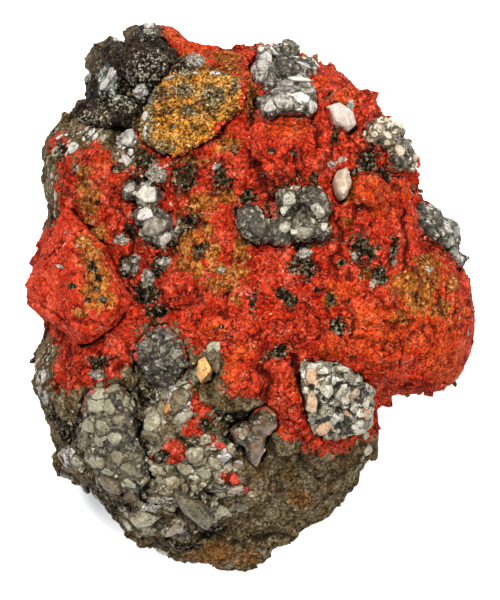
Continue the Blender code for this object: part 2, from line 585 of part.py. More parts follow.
def finish(made, look):
    """Keeps the object's one body, drops its slivers and gives it its material."""
    body = bmesh.new()
    body.from_mesh(made.data)
    bmesh.ops.remove_doubles(body, verts=body.verts, dist=MERGE)
    bmesh.ops.dissolve_degenerate(body, edges=body.edges, dist=MERGE)
    keep_largest(body)
    bmesh.ops.triangulate(body, faces=body.faces)
    body.to_mesh(made.data)
    body.free()
    thin(made, THINNING)
    colour, roughness, metallic = FINISHES[look]
    material = bpy.data.materials.new(made.name)
    material.use_nodes = True
    surface = material.node_tree.nodes["Principled BSDF"]
    surface.inputs["Base Color"].default_value = (*colour, 1.0)
    surface.inputs["Roughness"].default_value = roughness
    surface.inputs["Metallic"].default_value = metallic
    made.data.materials.clear()
    made.data.materials.append(material)


for old in list(bpy.data.objects):
    bpy.data.objects.remove(old)

specimen = bpy.data.collections.new("minium_specimen")
bpy.context.scene.collection.children.link(specimen)
SKIN_TREE = skin_tree()
chance = random.Random(PEBBLE_SEED)

# Blocks and crystal groups, each cut back from those made before it.
PIECES = (
    ("ochre_block", "ochre", (OCHRE_BLOCK,)),
    ("minium_block", "minium", (MINIUM_BLOCK,)),
    ("speckled_block", "cerussite", (SPECKLED_BLOCK,)),
    ("quartz_pebble", "quartz", (QUARTZ_PEBBLE,)),
    ("quartz_blade", "quartz", (QUARTZ_BLADE,)),
    ("grey_lump", "gangue", (GREY_LUMP,)),
    ("galena_druse", "galena", GALENA_DRUSE),
    ("cerussite_cluster", "cerussite", CERUSSITE_CLUSTER),
    ("cerussite_knob", "cerussite", CERUSSITE_KNOB),
    ("cerussite_spur", "cerussite", CERUSSITE_SPUR),
    ("pocket_cluster", "cerussite", POCKET_CLUSTER),
    ("cerussite_crust", "gangue", CERUSSITE_CRUST),
    ("quartz_cluster", "quartz", QUARTZ_CLUSTER),
    ("cerussite_vein", "cerussite", CERUSSITE_VEIN),
)
placed = []
for name, look, shapes in PIECES:
    blocks = [block_points(shape, chance) for shape in shapes]
    piece = as_object(hull(blocks[0]), name, specimen)
    combined(piece, [hull(points) for points in blocks[1:]], "UNION")
    combined(piece, [socket(points) for points in placed], "DIFFERENCE")
    finish(piece, look)
    placed += blocks

crust_lumps = [block_points(shape, chance) for shape in CRUST_LUMPS]
matrix_lumps = [block_points(shape, chance) for shape in MATRIX_LUMPS]
matrix_lumps += [pebble_points(chance) for step in range(FLANK_PEBBLES)]

crust = as_object(crust_sheet(), "minium_crust", specimen)
combined(crust, [hull(points) for points in crust_lumps], "UNION")
combined(crust, [socket(points) for points in placed + matrix_lumps], "DIFFERENCE")
finish(crust, "minium")

matrix = as_object(matrix_stone(), "matrix", specimen)
combined(matrix, [hull(points) for points in matrix_lumps], "UNION")
combined(matrix, [socket(points) for points in placed + crust_lumps], "DIFFERENCE")
finish(matrix, "matrix")
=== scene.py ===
import math

import bpy
import numpy as np
from mathutils import Matrix, Vector, noise
from mathutils.bvhtree import BVHTree


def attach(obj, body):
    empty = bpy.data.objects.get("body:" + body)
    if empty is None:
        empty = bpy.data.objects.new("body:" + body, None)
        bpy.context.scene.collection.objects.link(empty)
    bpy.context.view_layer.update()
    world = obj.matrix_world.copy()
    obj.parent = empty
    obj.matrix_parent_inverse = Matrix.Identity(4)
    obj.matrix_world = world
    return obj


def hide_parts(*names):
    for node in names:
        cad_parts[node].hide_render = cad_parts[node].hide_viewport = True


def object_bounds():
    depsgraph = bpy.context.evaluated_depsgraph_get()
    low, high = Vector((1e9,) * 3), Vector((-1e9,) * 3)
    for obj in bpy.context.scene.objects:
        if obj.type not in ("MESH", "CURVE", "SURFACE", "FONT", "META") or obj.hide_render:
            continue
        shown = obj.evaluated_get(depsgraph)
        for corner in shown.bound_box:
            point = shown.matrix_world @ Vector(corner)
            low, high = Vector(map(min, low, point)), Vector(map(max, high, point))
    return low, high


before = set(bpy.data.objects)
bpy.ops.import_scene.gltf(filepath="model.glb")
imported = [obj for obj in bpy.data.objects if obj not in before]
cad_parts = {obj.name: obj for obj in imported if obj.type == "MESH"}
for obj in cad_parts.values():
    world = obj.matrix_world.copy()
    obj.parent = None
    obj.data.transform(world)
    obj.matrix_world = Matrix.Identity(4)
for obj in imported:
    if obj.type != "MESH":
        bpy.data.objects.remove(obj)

box_of_solids = [list(corner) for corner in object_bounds()]

# The stone itself: one broken lump of altered lead ore, with pale grains and pebbles in a rusty ground. It
# formed in one piece, so all the rest sits in it, and its back is a flat break that it rests on.
MM = 0.001
BOX = [np.array(corner) / MM for corner in box_of_solids]
MATRIX_VOXEL = 0.40
BROWN_CRUMBS = 2000
BROWN_CRUMB_SIZES = (0.35, 1.5)
# How high above the table the red of the stone's flank ends.
CRUST_FOOT = 15
# Pebbles that stand out of the ground, each an oval seen from above: across, up, half length, half width,
# and turn in degrees. The patches after them are ovals of the same kind.
PEBBLES = (
    (-17.6, -23.8, 1.8, 1.4, 0), (-14.9, -25.0, 1.1, 0.9, -20), (-11.2, -25.5, 2.2, 1.1, 10),
    (-7.1, -26.8, 3.2, 1.5, -70), (-9.4, -29.0, 2.2, 0.9, 70), (-13.1, -28.0, 1.8, 1.4, -20),
    (-12.2, -15.2, 1.5, 1.6, 30), (-12.5, -17.2, 1.8, 1.0, 10), (-8.8, -12.8, 1.2, 1.8, -20),
    (-8.2, -15.0, 1.5, 1.1, 20), (-12.2, -12.0, 0.6, 0.9, 0), (-7.0, -19.5, 1.2, 1.4, 0),
    (-11.5, -21.4, 1.0, 0.8, 0), (-9.8, -22.9, 1.1, 1.1, 0), (-4.1, -23.8, 1.8, 1.2, 10),
    (-5.5, -22.0, 1.1, 0.9, -30), (-4.5, -20.5, 1.2, 0.8, -50), (-2.8, -21.2, 1.0, 0.6, 30),
    (-1.8, -24.0, 1.2, 0.9, 20), (-3.5, -26.8, 1.1, 1.1, 0), (-21.6, -20.5, 1.1, 1.2, 0),
    (-12.5, -23.0, 1.0, 0.8, 0), (-4.2, -8.2, 0.8, 1.0, 20), (-4.5, -6.2, 1.1, 0.8, 30),
    (-8.0, -10.8, 0.8, 0.9, 0), (-10.5, -11.8, 0.8, 1.0, 0), (-6.8, -9.8, 0.6, 0.9, 0),
    (-2.2, -18.8, 0.8, 1.0, 0), (-1.2, -26.0, 1.1, 0.8, -20), (-15.2, -27.2, 0.9, 0.6, -30),
    (-13.8, -20.0, 0.8, 1.0, 0), (-5.5, -17.5, 0.8, 0.8, 0), (-16.2, -23.5, 0.6, 0.8, 0),
    (-5.0, -28.0, 0.9, 1.0, -60), (-23.2, -22.8, 0.8, 1.2, -20), (-21.0, -24.2, 1.0, 0.8, -40),
    (-20.0, -25.8, 0.8, 0.6, 0),
)
AMBER_PEBBLES = (
    (-5.9, -8.9, 1.1, 1.5, -10), (-9.8, -10.0, 0.9, 0.8, 0), (-10.2, -13.8, 0.5, 1.0, -30),
    (-0.5, -15.8, 0.6, 0.5, 0),
)
WHITE_PEBBLES = (
    (-22.2, 19.0, 0.9, 1.1, -20), (-15.2, 20.0, 1.0, 1.5, -10), (-15.4, 17.2, 0.6, 1.1, 10),
    (-25.8, -9.8, 0.6, 1.1, 0), (-26.5, -11.8, 0.5, 0.9, 0), (-23.2, -20.5, 0.6, 1.1, -20),
    (-9.5, -13.0, 0.6, 1.4, -15), (-3.0, -19.8, 0.6, 0.9, -40), (-1.5, -20.5, 0.6, 0.5, 0),
    (-7.5, -21.5, 0.6, 0.5, 0), (-19.8, 20.5, 0.6, 0.5, 10),
)
WAXY_PATCHES = (
    (-12.5, -22.1, 6.9, 4.8, -20), (-4.4, -21.5, 3.2, 4.2, 0), (-18.8, -17.8, 4.5, 5.0, 0),
    (-16.2, -12.8, 3.8, 2.2, 0), (-6.2, -25.9, 2.0, 3.5, 20), (-13.8, -28.0, 2.2, 1.9, 0),
    (-25.0, 14.8, 0.9, 5.0, 0), (14.5, -19.6, 1.5, 2.8, 0),
)
WHITE_PATCHES = (
    (-9.0, -12.5, 1.5, 2.0, 20), (-15.8, 19.4, 1.6, 1.6, 0), (-16.4, 17.0, 0.8, 1.5, -20),
    (-22.2, 19.0, 1.0, 1.4, 0), (-4.9, -7.0, 2.0, 1.0, 0), (-25.8, -9.2, 0.8, 1.9, 0),
    (-12.0, -12.1, 0.6, 0.9, 0), (-19.0, 20.5, 1.2, 0.6, 0), (-9.2, -29.5, 0.8, 1.8, 69),
    (-2.8, -19.2, 0.9, 0.6, 0), (0.0, -17.8, 0.8, 1.2, 20), (-23.0, -19.6, 0.8, 0.8, 0),
    (-4.5, -18.5, 0.8, 0.5, 0), (-2.2, -21.0, 0.8, 0.5, 0), (-12.5, -26.2, 1.1, 0.6, 0),
    (-3.0, 28.2, 1.0, 0.4, 0), (-26.8, -9.2, 0.9, 2.2, 10), (-25.0, -6.0, 0.9, 1.5, 0),
    (-19.8, 19.5, 2.5, 0.6, 0), (-14.8, 18.5, 1.5, 1.2, 0), (-23.8, 19.8, 1.0, 0.8, 0),
    (-18.0, 20.5, 1.5, 0.5, 0), (-13.8, 16.5, 1.0, 0.8, 0), (-25.2, 17.2, 0.5, 2.0, 0),
    (-16.2, 15.2, 0.8, 0.6, 0), (-23.0, -20.2, 0.6, 1.0, 0), (-25.8, -12.5, 0.5, 1.0, 0),
)
DARK_PATCHES = (
    (-23.5, -13.8, 2.4, 2.8, 0), (-13.2, -12.1, 0.8, 1.5, 0), (-11.2, -6.5, 4.0, 4.2, 0),
    (-18.9, -19.8, 1.1, 0.6, -10), (-16.2, -13.1, 0.6, 1.0, 0), (-2.0, -14.2, 2.2, 1.5, 0),
    (-5.5, -15.8, 1.0, 1.0, 0), (-7.5, -18.0, 0.9, 0.8, 0), (-13.6, -18.8, 1.0, 2.0, 10),
    (-11.0, -19.8, 1.1, 0.8, 0), (-2.0, -17.5, 1.0, 1.5, 0), (-5.6, -24.8, 0.9, 1.8, -60),
    (-16.0, -26.0, 2.0, 0.6, -20), (-8.0, -31.2, 2.2, 0.6, 0), (-4.8, -29.2, 0.9, 1.8, -70),
    (-23.2, -18.0, 1.1, 1.8, 0), (-22.0, -16.2, 1.0, 1.8, 0), (-12.5, -25.2, 0.8, 1.5, 60),
    (-19.2, 22.8, 5.5, 1.8, 0), (-20.5, -23.5, 1.1, 1.5, -40), (-17.8, -26.2, 1.8, 0.8, -30),
    (-11.2, -27.4, 1.0, 0.5, 0), (1.5, -15.2, 2.5, 2.0, 0), (-12.5, 22.5, 1.2, 1.2, 0),
)
RUSTY_PATCHES = (
    (-9.8, -9.2, 1.1, 1.0, 0), (-9.0, -14.2, 1.0, 0.9, 0), (-5.8, -9.1, 1.1, 1.4, 0),
    (-2.0, -14.0, 1.8, 1.1, 0), (-3.5, -17.8, 0.6, 0.6, 0), (-4.8, -32.2, 3.0, 1.4, 0),
    (-0.6, -32.8, 1.8, 1.1, 0), (-10.2, -12.5, 0.8, 0.8, 0), (6.2, -25.2, 1.8, 1.0, -20),
    (0.2, -13.8, 1.8, 1.1, 0), (-7.2, -11.2, 0.6, 0.8, 0),
)
# Red that has bled from the crust into the ground below it.
RED_STAINS = (
    (-6.0, -13.1, 1.4, 1.5, 0), (-6.6, -16.0, 2.1, 1.2, 30), (-9.5, -19.0, 1.5, 1.5, 0),
    (-11.6, -20.1, 0.9, 0.6, 0), (-2.5, -22.6, 1.4, 0.6, -30), (-0.5, -23.8, 0.6, 0.5, 0),
    (-16.0, -22.0, 0.6, 0.6, 0), (-25.0, -6.0, 0.9, 1.2, 0), (-7.8, -10.6, 0.5, 0.6, 0),
    (-4.0, -18.5, 0.5, 0.5, 0), (-5.0, -17.8, 0.5, 1.0, 0),
)
# Where the red crust ends, seen from above. The ground is bare outside this line.
CRUST_EDGE = [
    (-11.8, 36.5), (10.0, 33.5), (18.8, 28.5), (23.8, 22.2), (31.2, 12.2), (31.2, -15.2), (17.8, -14.2),
    (16.9, -14.5), (16.1, -16.8), (14.5, -17.5), (12.6, -18.5), (10.0, -20.1), (8.8, -19.6), (4.5, -17.6),
    (2.9, -16.1), (2.5, -13.0), (-0.6, -12.5), (-3.0, -12.4), (-3.2, -9.2), (-2.9, -7.2), (-4.8, -6.5),
    (-7.2, -6.9), (-8.5, -4.2), (-10.2, -3.2), (-12.2, -2.5), (-13.8, -4.2), (-14.5, -6.0), (-14.8, -8.0),
    (-16.2, -9.2), (-17.2, -10.4), (-21.0, -11.2), (-21.9, -11.8), (-25.0, -10.9), (-24.8, -8.5),
    (-23.8, -5.9), (-25.5, -4.6), (-28.8, -2.8), (-30.0, 4.5), (-27.5, 8.2), (-23.8, 9.5), (-24.0, 13.5),
    (-24.2, 16.6), (-25.4, 19.8), (-23.5, 21.2), (-22.8, 18.5), (-21.8, 17.5), (-20.8, 18.8),
    (-18.8, 19.2), (-17.2, 18.2), (-16.6, 16.5), (-15.5, 15.8), (-14.5, 16.8), (-12.5, 17.5),
    (-13.6, 19.8), (-13.9, 23.5), (-12.2, 26.0), (-10.5, 28.2), (-9.5, 30.2), (-11.2, 32.8),
]
# Cracks and clefts: the line seen from above, half width and depth.
MATRIX_CRACKS = (
    ([(-23.8, -11.5), (-23.0, -16.5), (-20.8, -21.5), (-18.8, -24.2)], 0.35, 0.6),
    ([(-20.2, -24.5), (-15.0, -25.2), (-13.0, -26.0)], 0.3, 0.7),
    ([(-14.0, -11.2), (-13.5, -14.2), (-14.2, -17.8), (-12.5, -21.5), (-12.9, -24.2)], 0.35, 0.8),
    ([(-8.8, -21.5), (-8.0, -24.2), (-9.0, -27.1)], 0.3, 0.6),
    ([(-1.2, -13.0), (-1.8, -15.9), (-2.8, -17.8), (-2.2, -21.5), (-3.5, -25.9)], 0.35, 0.6),
    ([(-10.6, -30.2), (-6.2, -29.8), (-1.2, -30.9), (5.0, -29.8)], 0.5, 0.7),
    ([(-8.4, -24.0), (-7.8, -26.8), (-6.2, -29.8)], 0.3, 0.6),
    ([(-5.2, -23.5), (-4.8, -26.8), (-5.8, -29.5)], 0.3, 0.6),
    ([(1.2, -21.5), (5.0, -25.2), (10.0, -26.8)], 0.3, 0.4),
    ([(6.2, -20.5), (8.8, -22.8), (12.5, -23.8)], 0.3, 0.4),
)


def fine_copy(node, name, voxel, passes):
    """The solid again as a fine, even mesh whose joins and corners are eased."""
    piece = bpy.data.objects.new(name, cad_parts[node].data.copy())
    bpy.context.scene.collection.objects.link(piece)
    piece.data.materials.clear()
    even = piece.modifiers.new("even", "REMESH")
    even.mode = "VOXEL"
    even.voxel_size = voxel * MM
    ease = piece.modifiers.new("ease", "SMOOTH")
    ease.iterations = passes
    graph = bpy.context.evaluated_depsgraph_get()
    mesh = bpy.data.meshes.new_from_object(piece.evaluated_get(graph))
    piece.modifiers.clear()
    piece.data = mesh
    return piece


def read(piece):
    """The piece's points in millimetres, and its outward directions."""
    points = np.empty(len(piece.data.vertices) * 3)
    piece.data.vertices.foreach_get("co", points)
    ways = np.empty(len(piece.data.vertices) * 3)
    piece.data.vertices.foreach_get("normal", ways)
    return points.reshape(-1, 3) / MM, ways.reshape(-1, 3)


# How far under the top of the solids' box the easing starts.
TOP_EASE = 1.0


def keep(mesh, notes):
    """Keeps named values on a mesh's points, for its material to read."""
    for name, values in notes.items():
        kept = mesh.attributes.new(name, "FLOAT", "POINT")
        kept.data.foreach_set("value", np.asarray(values, dtype=np.float32))


def write(piece, points, **notes):
    """Moves the piece's points, eased in under the top of the solids' box, and keeps values on them."""
    over = np.clip(points[:, 2] - BOX[1][2] + TOP_EASE, 0, None)
    points[:, 2] = points[:, 2] - over + over / (1 + over)
    piece.data.vertices.foreach_set("co", (np.clip(points, *BOX) * MM).ravel())
    keep(piece.data, notes)
    piece.data.update()
    piece.data.shade_smooth()


def cloudy(points, size, octaves=3, shift=0.0):
    """Soft random swells of this size, from about -1 to 1."""
    return np.array([noise.fractal(Vector(p), 1.0, 2.0, octaves) for p in points / size + shift])


def crumbly(points, size, octaves=2, shift=0.0):
    """Rounded crumbs of this size with sharp clefts between them, from 0 in a cleft to about 0.7."""
    return np.array([noise.turbulence(Vector(p), octaves, True) for p in points / size + shift])


def wandering(points, size, reach, shift=3.0):
    """Sideways shifts that make straight lines and even cells wander."""
    across, along = cloudy(points, size, 2, shift), cloudy(points, size, 2, shift + 6)
    return np.stack([across, along, cloudy(points, size, 2, shift + 12)], axis=1) * reach


# Uneven numbers that turn a chip's place into its lean and tone, the same on each run.
CHIP_LOTS = ((12.99, 78.23, 37.72), (39.35, 11.14, 83.16), (73.16, 52.24, 9.15))
CHIP_SHUFFLE = 43758.55


def broken(points, size, shift=0.0):
    """A surface broken into flat chips: how far it stands out, how near a join is, and each chip's tone."""
    scaled = points / size + shift
    near = [noise.voronoi(Vector(p)) for p in scaled]
    gap = np.array([n[0][1] - n[0][0] for n in near])
    middles = np.array([tuple(n[1][0]) for n in near])
    lots = [np.modf(np.abs(np.sin(middles @ lot) * CHIP_SHUFFLE))[0] for lot in CHIP_LOTS]
    slopes = np.stack(lots, axis=1) - 0.5
    return ((scaled - middles) * slopes).sum(axis=1) * 1.6 + slopes[:, 2] * 0.5, gap, lots[0]


def cleft(value, width):
    """1 where a value is zero, as in a cleft or on a join, falling to 0 over this width on either side."""
    return np.exp(-((value / width) ** 2))


def spots(points, ovals):
    """1 inside the ovals seen from above, 0.5 on their line, and 0 well outside."""
    mask = np.zeros(len(points))
    for x, y, half_length, half_width, turn in ovals:
        lean = math.radians(turn)
        away_x, away_y = points[:, 0] - x, points[:, 1] - y
        along = (away_x * math.cos(lean) + away_y * math.sin(lean)) / half_length
        across = (away_y * math.cos(lean) - away_x * math.sin(lean)) / half_width
        mask = np.maximum(mask, np.clip(1.5 - np.hypot(along, across), 0.0, 1.0))
    return mask


def from_line(points, line, closed=False):
    """How far each point is from a line seen from above."""
    nearest = np.full(len(points), 1e9)
    ends = line[1:] + line[:1] if closed else line[1:]
    for (x0, y0), (x1, y1) in zip(line, ends):
        way = np.array([x1 - x0, y1 - y0])
        offset = points[:, :2] - [x0, y0]
        share = np.clip(offset @ way / (way @ way), 0.0, 1.0)
        nearest = np.minimum(nearest, np.hypot(*(offset - share[:, None] * way).T))
    return nearest


def cut_lines(points, cracks, wander):
    """How deep the cracks go at each point, for a surface seen from above."""
    depth = np.zeros(len(points))
    for line, half_width, deep in cracks:
        depth = np.maximum(depth, deep * cleft(from_line(points + wander, line), half_width))
    return depth


def inside_line(points, line):
    """How far inside a closed line each point lies, seen from above, and below zero outside."""
    found = np.zeros(len(points), dtype=bool)
    for (x0, y0), (x1, y1) in zip(line, line[1:] + line[:1]):
        if y0 != y1:
            crossing = x0 + (x1 - x0) * (points[:, 1] - y0) / (y1 - y0)
            found ^= ((y0 > points[:, 1]) != (y1 > points[:, 1])) & (points[:, 0] < crossing)
    return np.where(found, 1.0, -1.0) * from_line(points, line, closed=True)


def close_to(points, piece, reach):
    """How near each point is to another piece's surface, from 1 on it to 0 at this reach."""
    tree = BVHTree.FromObject(piece, bpy.context.evaluated_depsgraph_get())
    found = [tree.find_nearest(Vector(p), reach * MM) for p in points * MM]
    return np.array([0.0 if f[3] is None else 1 - f[3] / (reach * MM) for f in found])


CHIP_CORNERS = 12
CHIP_FACES = [(5, 4, 3, 2, 1, 0), (6, 7, 8, 9, 10, 11)]
CHIP_FACES += [(side, (side + 1) % 6, (side + 1) % 6 + 6, side + 6) for side in range(6)]
# How far apart two chips' middles are at least, for their lengths together.
CHIP_SPACING = 0.42


def chip_corners(lots):
    """A chip with six uneven sides and a smaller, leaning top, one unit long, wide and high."""
    turns = np.arange(6) * math.pi / 3 + lots.uniform(-0.42, 0.42, 6)
    ring = np.column_stack([np.cos(turns), np.sin(turns)]) * lots.uniform(0.36, 0.62, (6, 1))
    top = ring * lots.uniform(0.6, 0.92) + lots.uniform(-0.05, 0.05, 2)
    height = 0.5 + top @ lots.uniform(-0.8, 0.8, 2)
    return np.vstack([np.column_stack([ring, np.full(6, -0.5)]), np.column_stack([top, height])])


def new_piece(name, corners, faces, notes):
    """A piece with a mesh of its own, never out of the solids' box."""
    mesh = bpy.data.meshes.new(name)
    mesh.from_pydata((np.clip(corners, *BOX) * MM).tolist(), [], faces)
    mesh.update()
    keep(mesh, notes)
    piece = bpy.data.objects.new(name, mesh)
    bpy.context.scene.collection.objects.link(piece)
    return piece


def chips(name, points, ways, weight, count, sizes, shape, rise, lean, seed, **notes):
    """Angular chips set in a surface at random where the weight is high, as one mesh. Each chip carries the
    values that the surface has under it. Its shape is how wide and how high it is for its length."""
    lots = np.random.default_rng(seed)
    order = lots.permutation(len(points))
    order = order[lots.random(len(points)) < weight[order]]
    middles, lengths, used = np.empty((0, 3)), np.empty(0), []
    for i in order:
        length = sizes[0] * (sizes[1] / sizes[0]) ** lots.random()
        apart = np.linalg.norm(middles - points[i], axis=1)
        if (apart < CHIP_SPACING * (lengths + length)).any():
            continue
        used.append(i)
        middles = np.vstack([middles, points[i]])
        lengths = np.append(lengths, length)
        if len(used) == count:
            break
    made, tones = [], lots.random(len(used))
    for i, length in zip(used, lengths):
        up = Vector(ways[i] + lots.normal(0, lean, 3)).normalized()
        spin = Matrix.Rotation(lots.uniform(0, 2 * math.pi), 3, "Z")
        turned = up.to_track_quat("Z", "Y").to_matrix() @ spin
        corners = chip_corners(lots) * (length, length * shape[0], length * shape[1])
        made.append(corners @ np.array(turned).T + points[i] + ways[i] * (rise - 0.3) * length * shape[1])
    firsts = range(0, CHIP_CORNERS * len(made), CHIP_CORNERS)
    faces = [[first + corner for corner in face] for first in firsts for face in CHIP_FACES]
    values = dict({key: np.asarray(value)[used] for key, value in notes.items()}, tone=tones)
    values = {key: np.repeat(value, CHIP_CORNERS) for key, value in values.items()}
    return new_piece(name, np.vstack(made), faces, values)


# How bright the light on the stone's face is, and how much of it a surface gives back as white sheen.
LIGHT = 1.95
SHEEN = 0.01


def tone(red, green, blue):
    """What a surface gives back when it shows as this colour, 0 to 255, in this light."""
    shown = [((c / 255 + 0.055) / 1.055) ** 2.4 if c > 10 else c / 255 / 12.92 for c in (red, green, blue)]
    return tuple(max(c - SHEEN, 0.0) / LIGHT for c in shown) + (1.0,)


class Paint:
    """A material put together from noises, masks and mixes. Sizes are in millimetres."""

    def __init__(self, name):
        self.material = bpy.data.materials.new(name)
        self.material.use_nodes = True
        self.tree = self.material.node_tree
        self.surface = self.tree.nodes["Principled BSDF"]
        self.place = self.vector("SCALE", self.node("ShaderNodeTexCoord").outputs["Object"], scale=1 / MM)

    def node(self, kind, **settings):
        made = self.tree.nodes.new(kind)
        for key, value in settings.items():
            setattr(made, key, value)
        return made

    def feed(self, socket, value):
        if isinstance(value, bpy.types.NodeSocket):
            self.tree.links.new(value, socket)
        else:
            socket.default_value = value

    def vector(self, operation, first, second=None, scale=None):
        made = self.node("ShaderNodeVectorMath", operation=operation)
        self.feed(made.inputs[0], first)
        if second is not None:
            self.feed(made.inputs[1], second)
        if scale is not None:
            self.feed(made.inputs["Scale"], scale)
        return made.outputs[0]

    def math(self, operation, first, second=0.0):
        made = self.node("ShaderNodeMath", operation=operation)
        self.feed(made.inputs[0], first)
        self.feed(made.inputs[1], second)
        return made.outputs[0]

    def blend(self, first, second, share):
        """The first value and this share of the second, added up."""
        rest = self.math("MULTIPLY", first, 1 - share)
        return self.math("ADD", rest, self.math("MULTIPLY", second, share))

    def noise(self, size, detail=3.0, rough=0.55, warp=0.0, shift=0.0):
        made = self.node("ShaderNodeTexNoise")
        moved = self.vector("ADD", self.place, (shift, shift * 0.7, -shift)) if shift else self.place
        self.feed(made.inputs["Vector"], moved)
        self.feed(made.inputs["Scale"], 1 / size)
        self.feed(made.inputs["Detail"], detail)
        self.feed(made.inputs["Roughness"], rough)
        self.feed(made.inputs["Distortion"], warp)
        return made.outputs["Fac"]

    def grains(self, size, output="Distance", shift=0.0):
        made = self.node("ShaderNodeTexVoronoi")
        self.feed(made.inputs["Vector"], self.vector("ADD", self.place, (shift, -shift, shift * 0.5)))
        self.feed(made.inputs["Scale"], 1 / size)
        return made.outputs[output]

    def crackle(self, size, reach=0.35):
        """How near a point is to the lines of a wandering net with meshes of this size."""
        wander = self.node("ShaderNodeTexNoise")
        self.feed(wander.inputs["Vector"], self.place)
        self.feed(wander.inputs["Scale"], 1.6 / size)
        self.feed(wander.inputs["Detail"], 3.0)
        shift = self.vector("SUBTRACT", wander.outputs["Color"], (0.5, 0.5, 0.5))
        shift = self.vector("SCALE", shift, scale=size * reach * 3)
        made = self.node("ShaderNodeTexVoronoi", feature="DISTANCE_TO_EDGE")
        self.feed(made.inputs["Vector"], self.vector("ADD", self.place, shift))
        self.feed(made.inputs["Scale"], 1 / size)
        return made.outputs["Distance"]

    def kept(self, name):
        return self.node("ShaderNodeAttribute", attribute_name=name).outputs["Fac"]

    def step(self, value, low, high, bottom=0.0, top=1.0):
        """From bottom to top as the value goes from low to high; low may be the greater."""
        made = self.node("ShaderNodeMapRange", interpolation_type="SMOOTHSTEP")
        if low > high:
            low, high, bottom, top = high, low, top, bottom
        names = ("Value", "From Min", "From Max", "To Min", "To Max")
        for name, number in zip(names, (value, low, high, bottom, top)):
            self.feed(made.inputs[name], number)
        return made.outputs["Result"]

    def patch(self, mask, size, spread=0.5, soft=0.06, shift=0.0, warp=0.4):
        """A mask whose edge is ragged at this size."""
        ragged = self.math("SUBTRACT", self.noise(size, 5, 0.7, warp, shift), 0.5)
        mask = self.math("ADD", mask, self.math("MULTIPLY", ragged, spread * 4))
        return self.step(mask, 0.5 - soft, 0.5 + soft)

    def mix(self, amount, first, second, blend="MIX"):
        made = self.node("ShaderNodeMix", data_type="RGBA", blend_type=blend, clamp_factor=True)
        for socket, value in zip((made.inputs[0], made.inputs[6], made.inputs[7]), (amount, first, second)):
            self.feed(socket, value)
        return made.outputs[2]

    def over(self, colour, other, name, size, spread=0.5, soft=0.06, shift=0.0, strength=1.0):
        """The colour with another one over it, ragged at this size, where the mesh's named value is high."""
        here = self.patch(self.kept(name), size, spread, soft, shift)
        if strength < 1:
            here = self.math("MULTIPLY", here, strength)
        return self.mix(here, colour, other)

    def ramp(self, value, *stops):
        """Colours along a value: each stop is its place and colour."""
        made = self.node("ShaderNodeValToRGB")
        ramp = made.color_ramp
        while len(ramp.elements) < len(stops):
            ramp.elements.new(0.5)
        for element, (where, colour) in zip(ramp.elements, stops):
            element.position = where
            element.color = tone(*colour)
        self.feed(made.inputs["Fac"], value)
        return made.outputs["Color"]

    def gritty(self, colour, size, dark, light, shift=0.0):
        """The colour with fine grains in it, from this much darker to this much lighter."""
        grain = self.grains(size * 1.2, "Color", shift)
        grain = self.blend(self.noise(size, 2, 0.8, 0.0, shift), grain, 0.45)
        return self.vector("SCALE", colour, scale=self.step(grain, 0.35, 0.65, dark, light))

    def flecks(self, colour, size, level, fleck, strength=0.9, shift=0.0):
        """The colour with small ragged flecks of another tone where a fine noise is above a level."""
        here = self.step(self.noise(size, 1.5, 0.6, 0.3, shift), level, level + 0.035)
        return self.mix(self.math("MULTIPLY", here, strength), colour, tone(*fleck))

    def darker(self, colour, mask, low, high, shade, strength):
        """The colour darkened by painted shade of this tint where a mask rises from low to high."""
        amount = self.math("MULTIPLY", self.step(mask, low, high), strength)
        return self.mix(amount, colour, self.mix(1.0, colour, (*shade, 1.0), "MULTIPLY"))

    def bump(self, height, depth):
        made = self.node("ShaderNodeBump")
        self.feed(made.inputs["Height"], height)
        self.feed(made.inputs["Distance"], depth * MM)
        return made.outputs["Normal"]

    def finish(self, colour, rough, normal=None, **values):
        self.feed(self.surface.inputs["Base Color"], colour)
        self.feed(self.surface.inputs["Roughness"], rough)
        if normal is not None:
            self.feed(self.surface.inputs["Normal"], normal)
        for name, value in values.items():
            self.feed(self.surface.inputs[name.replace("_", " ")], value)
        return self.material


def dark_grains(paint, shift):
    """Granular dark ore: nearly black, with grey-green and a few bright grains."""
    grains = paint.blend(paint.noise(0.55, 5, 0.75, 0.0, shift), paint.grains(0.4, "Color", shift), 0.4)
    return paint.ramp(
        grains, (0.36, (18, 13, 6)), (0.49, (50, 42, 27)), (0.59, (98, 88, 66)), (0.72, (186, 176, 150)),
    )


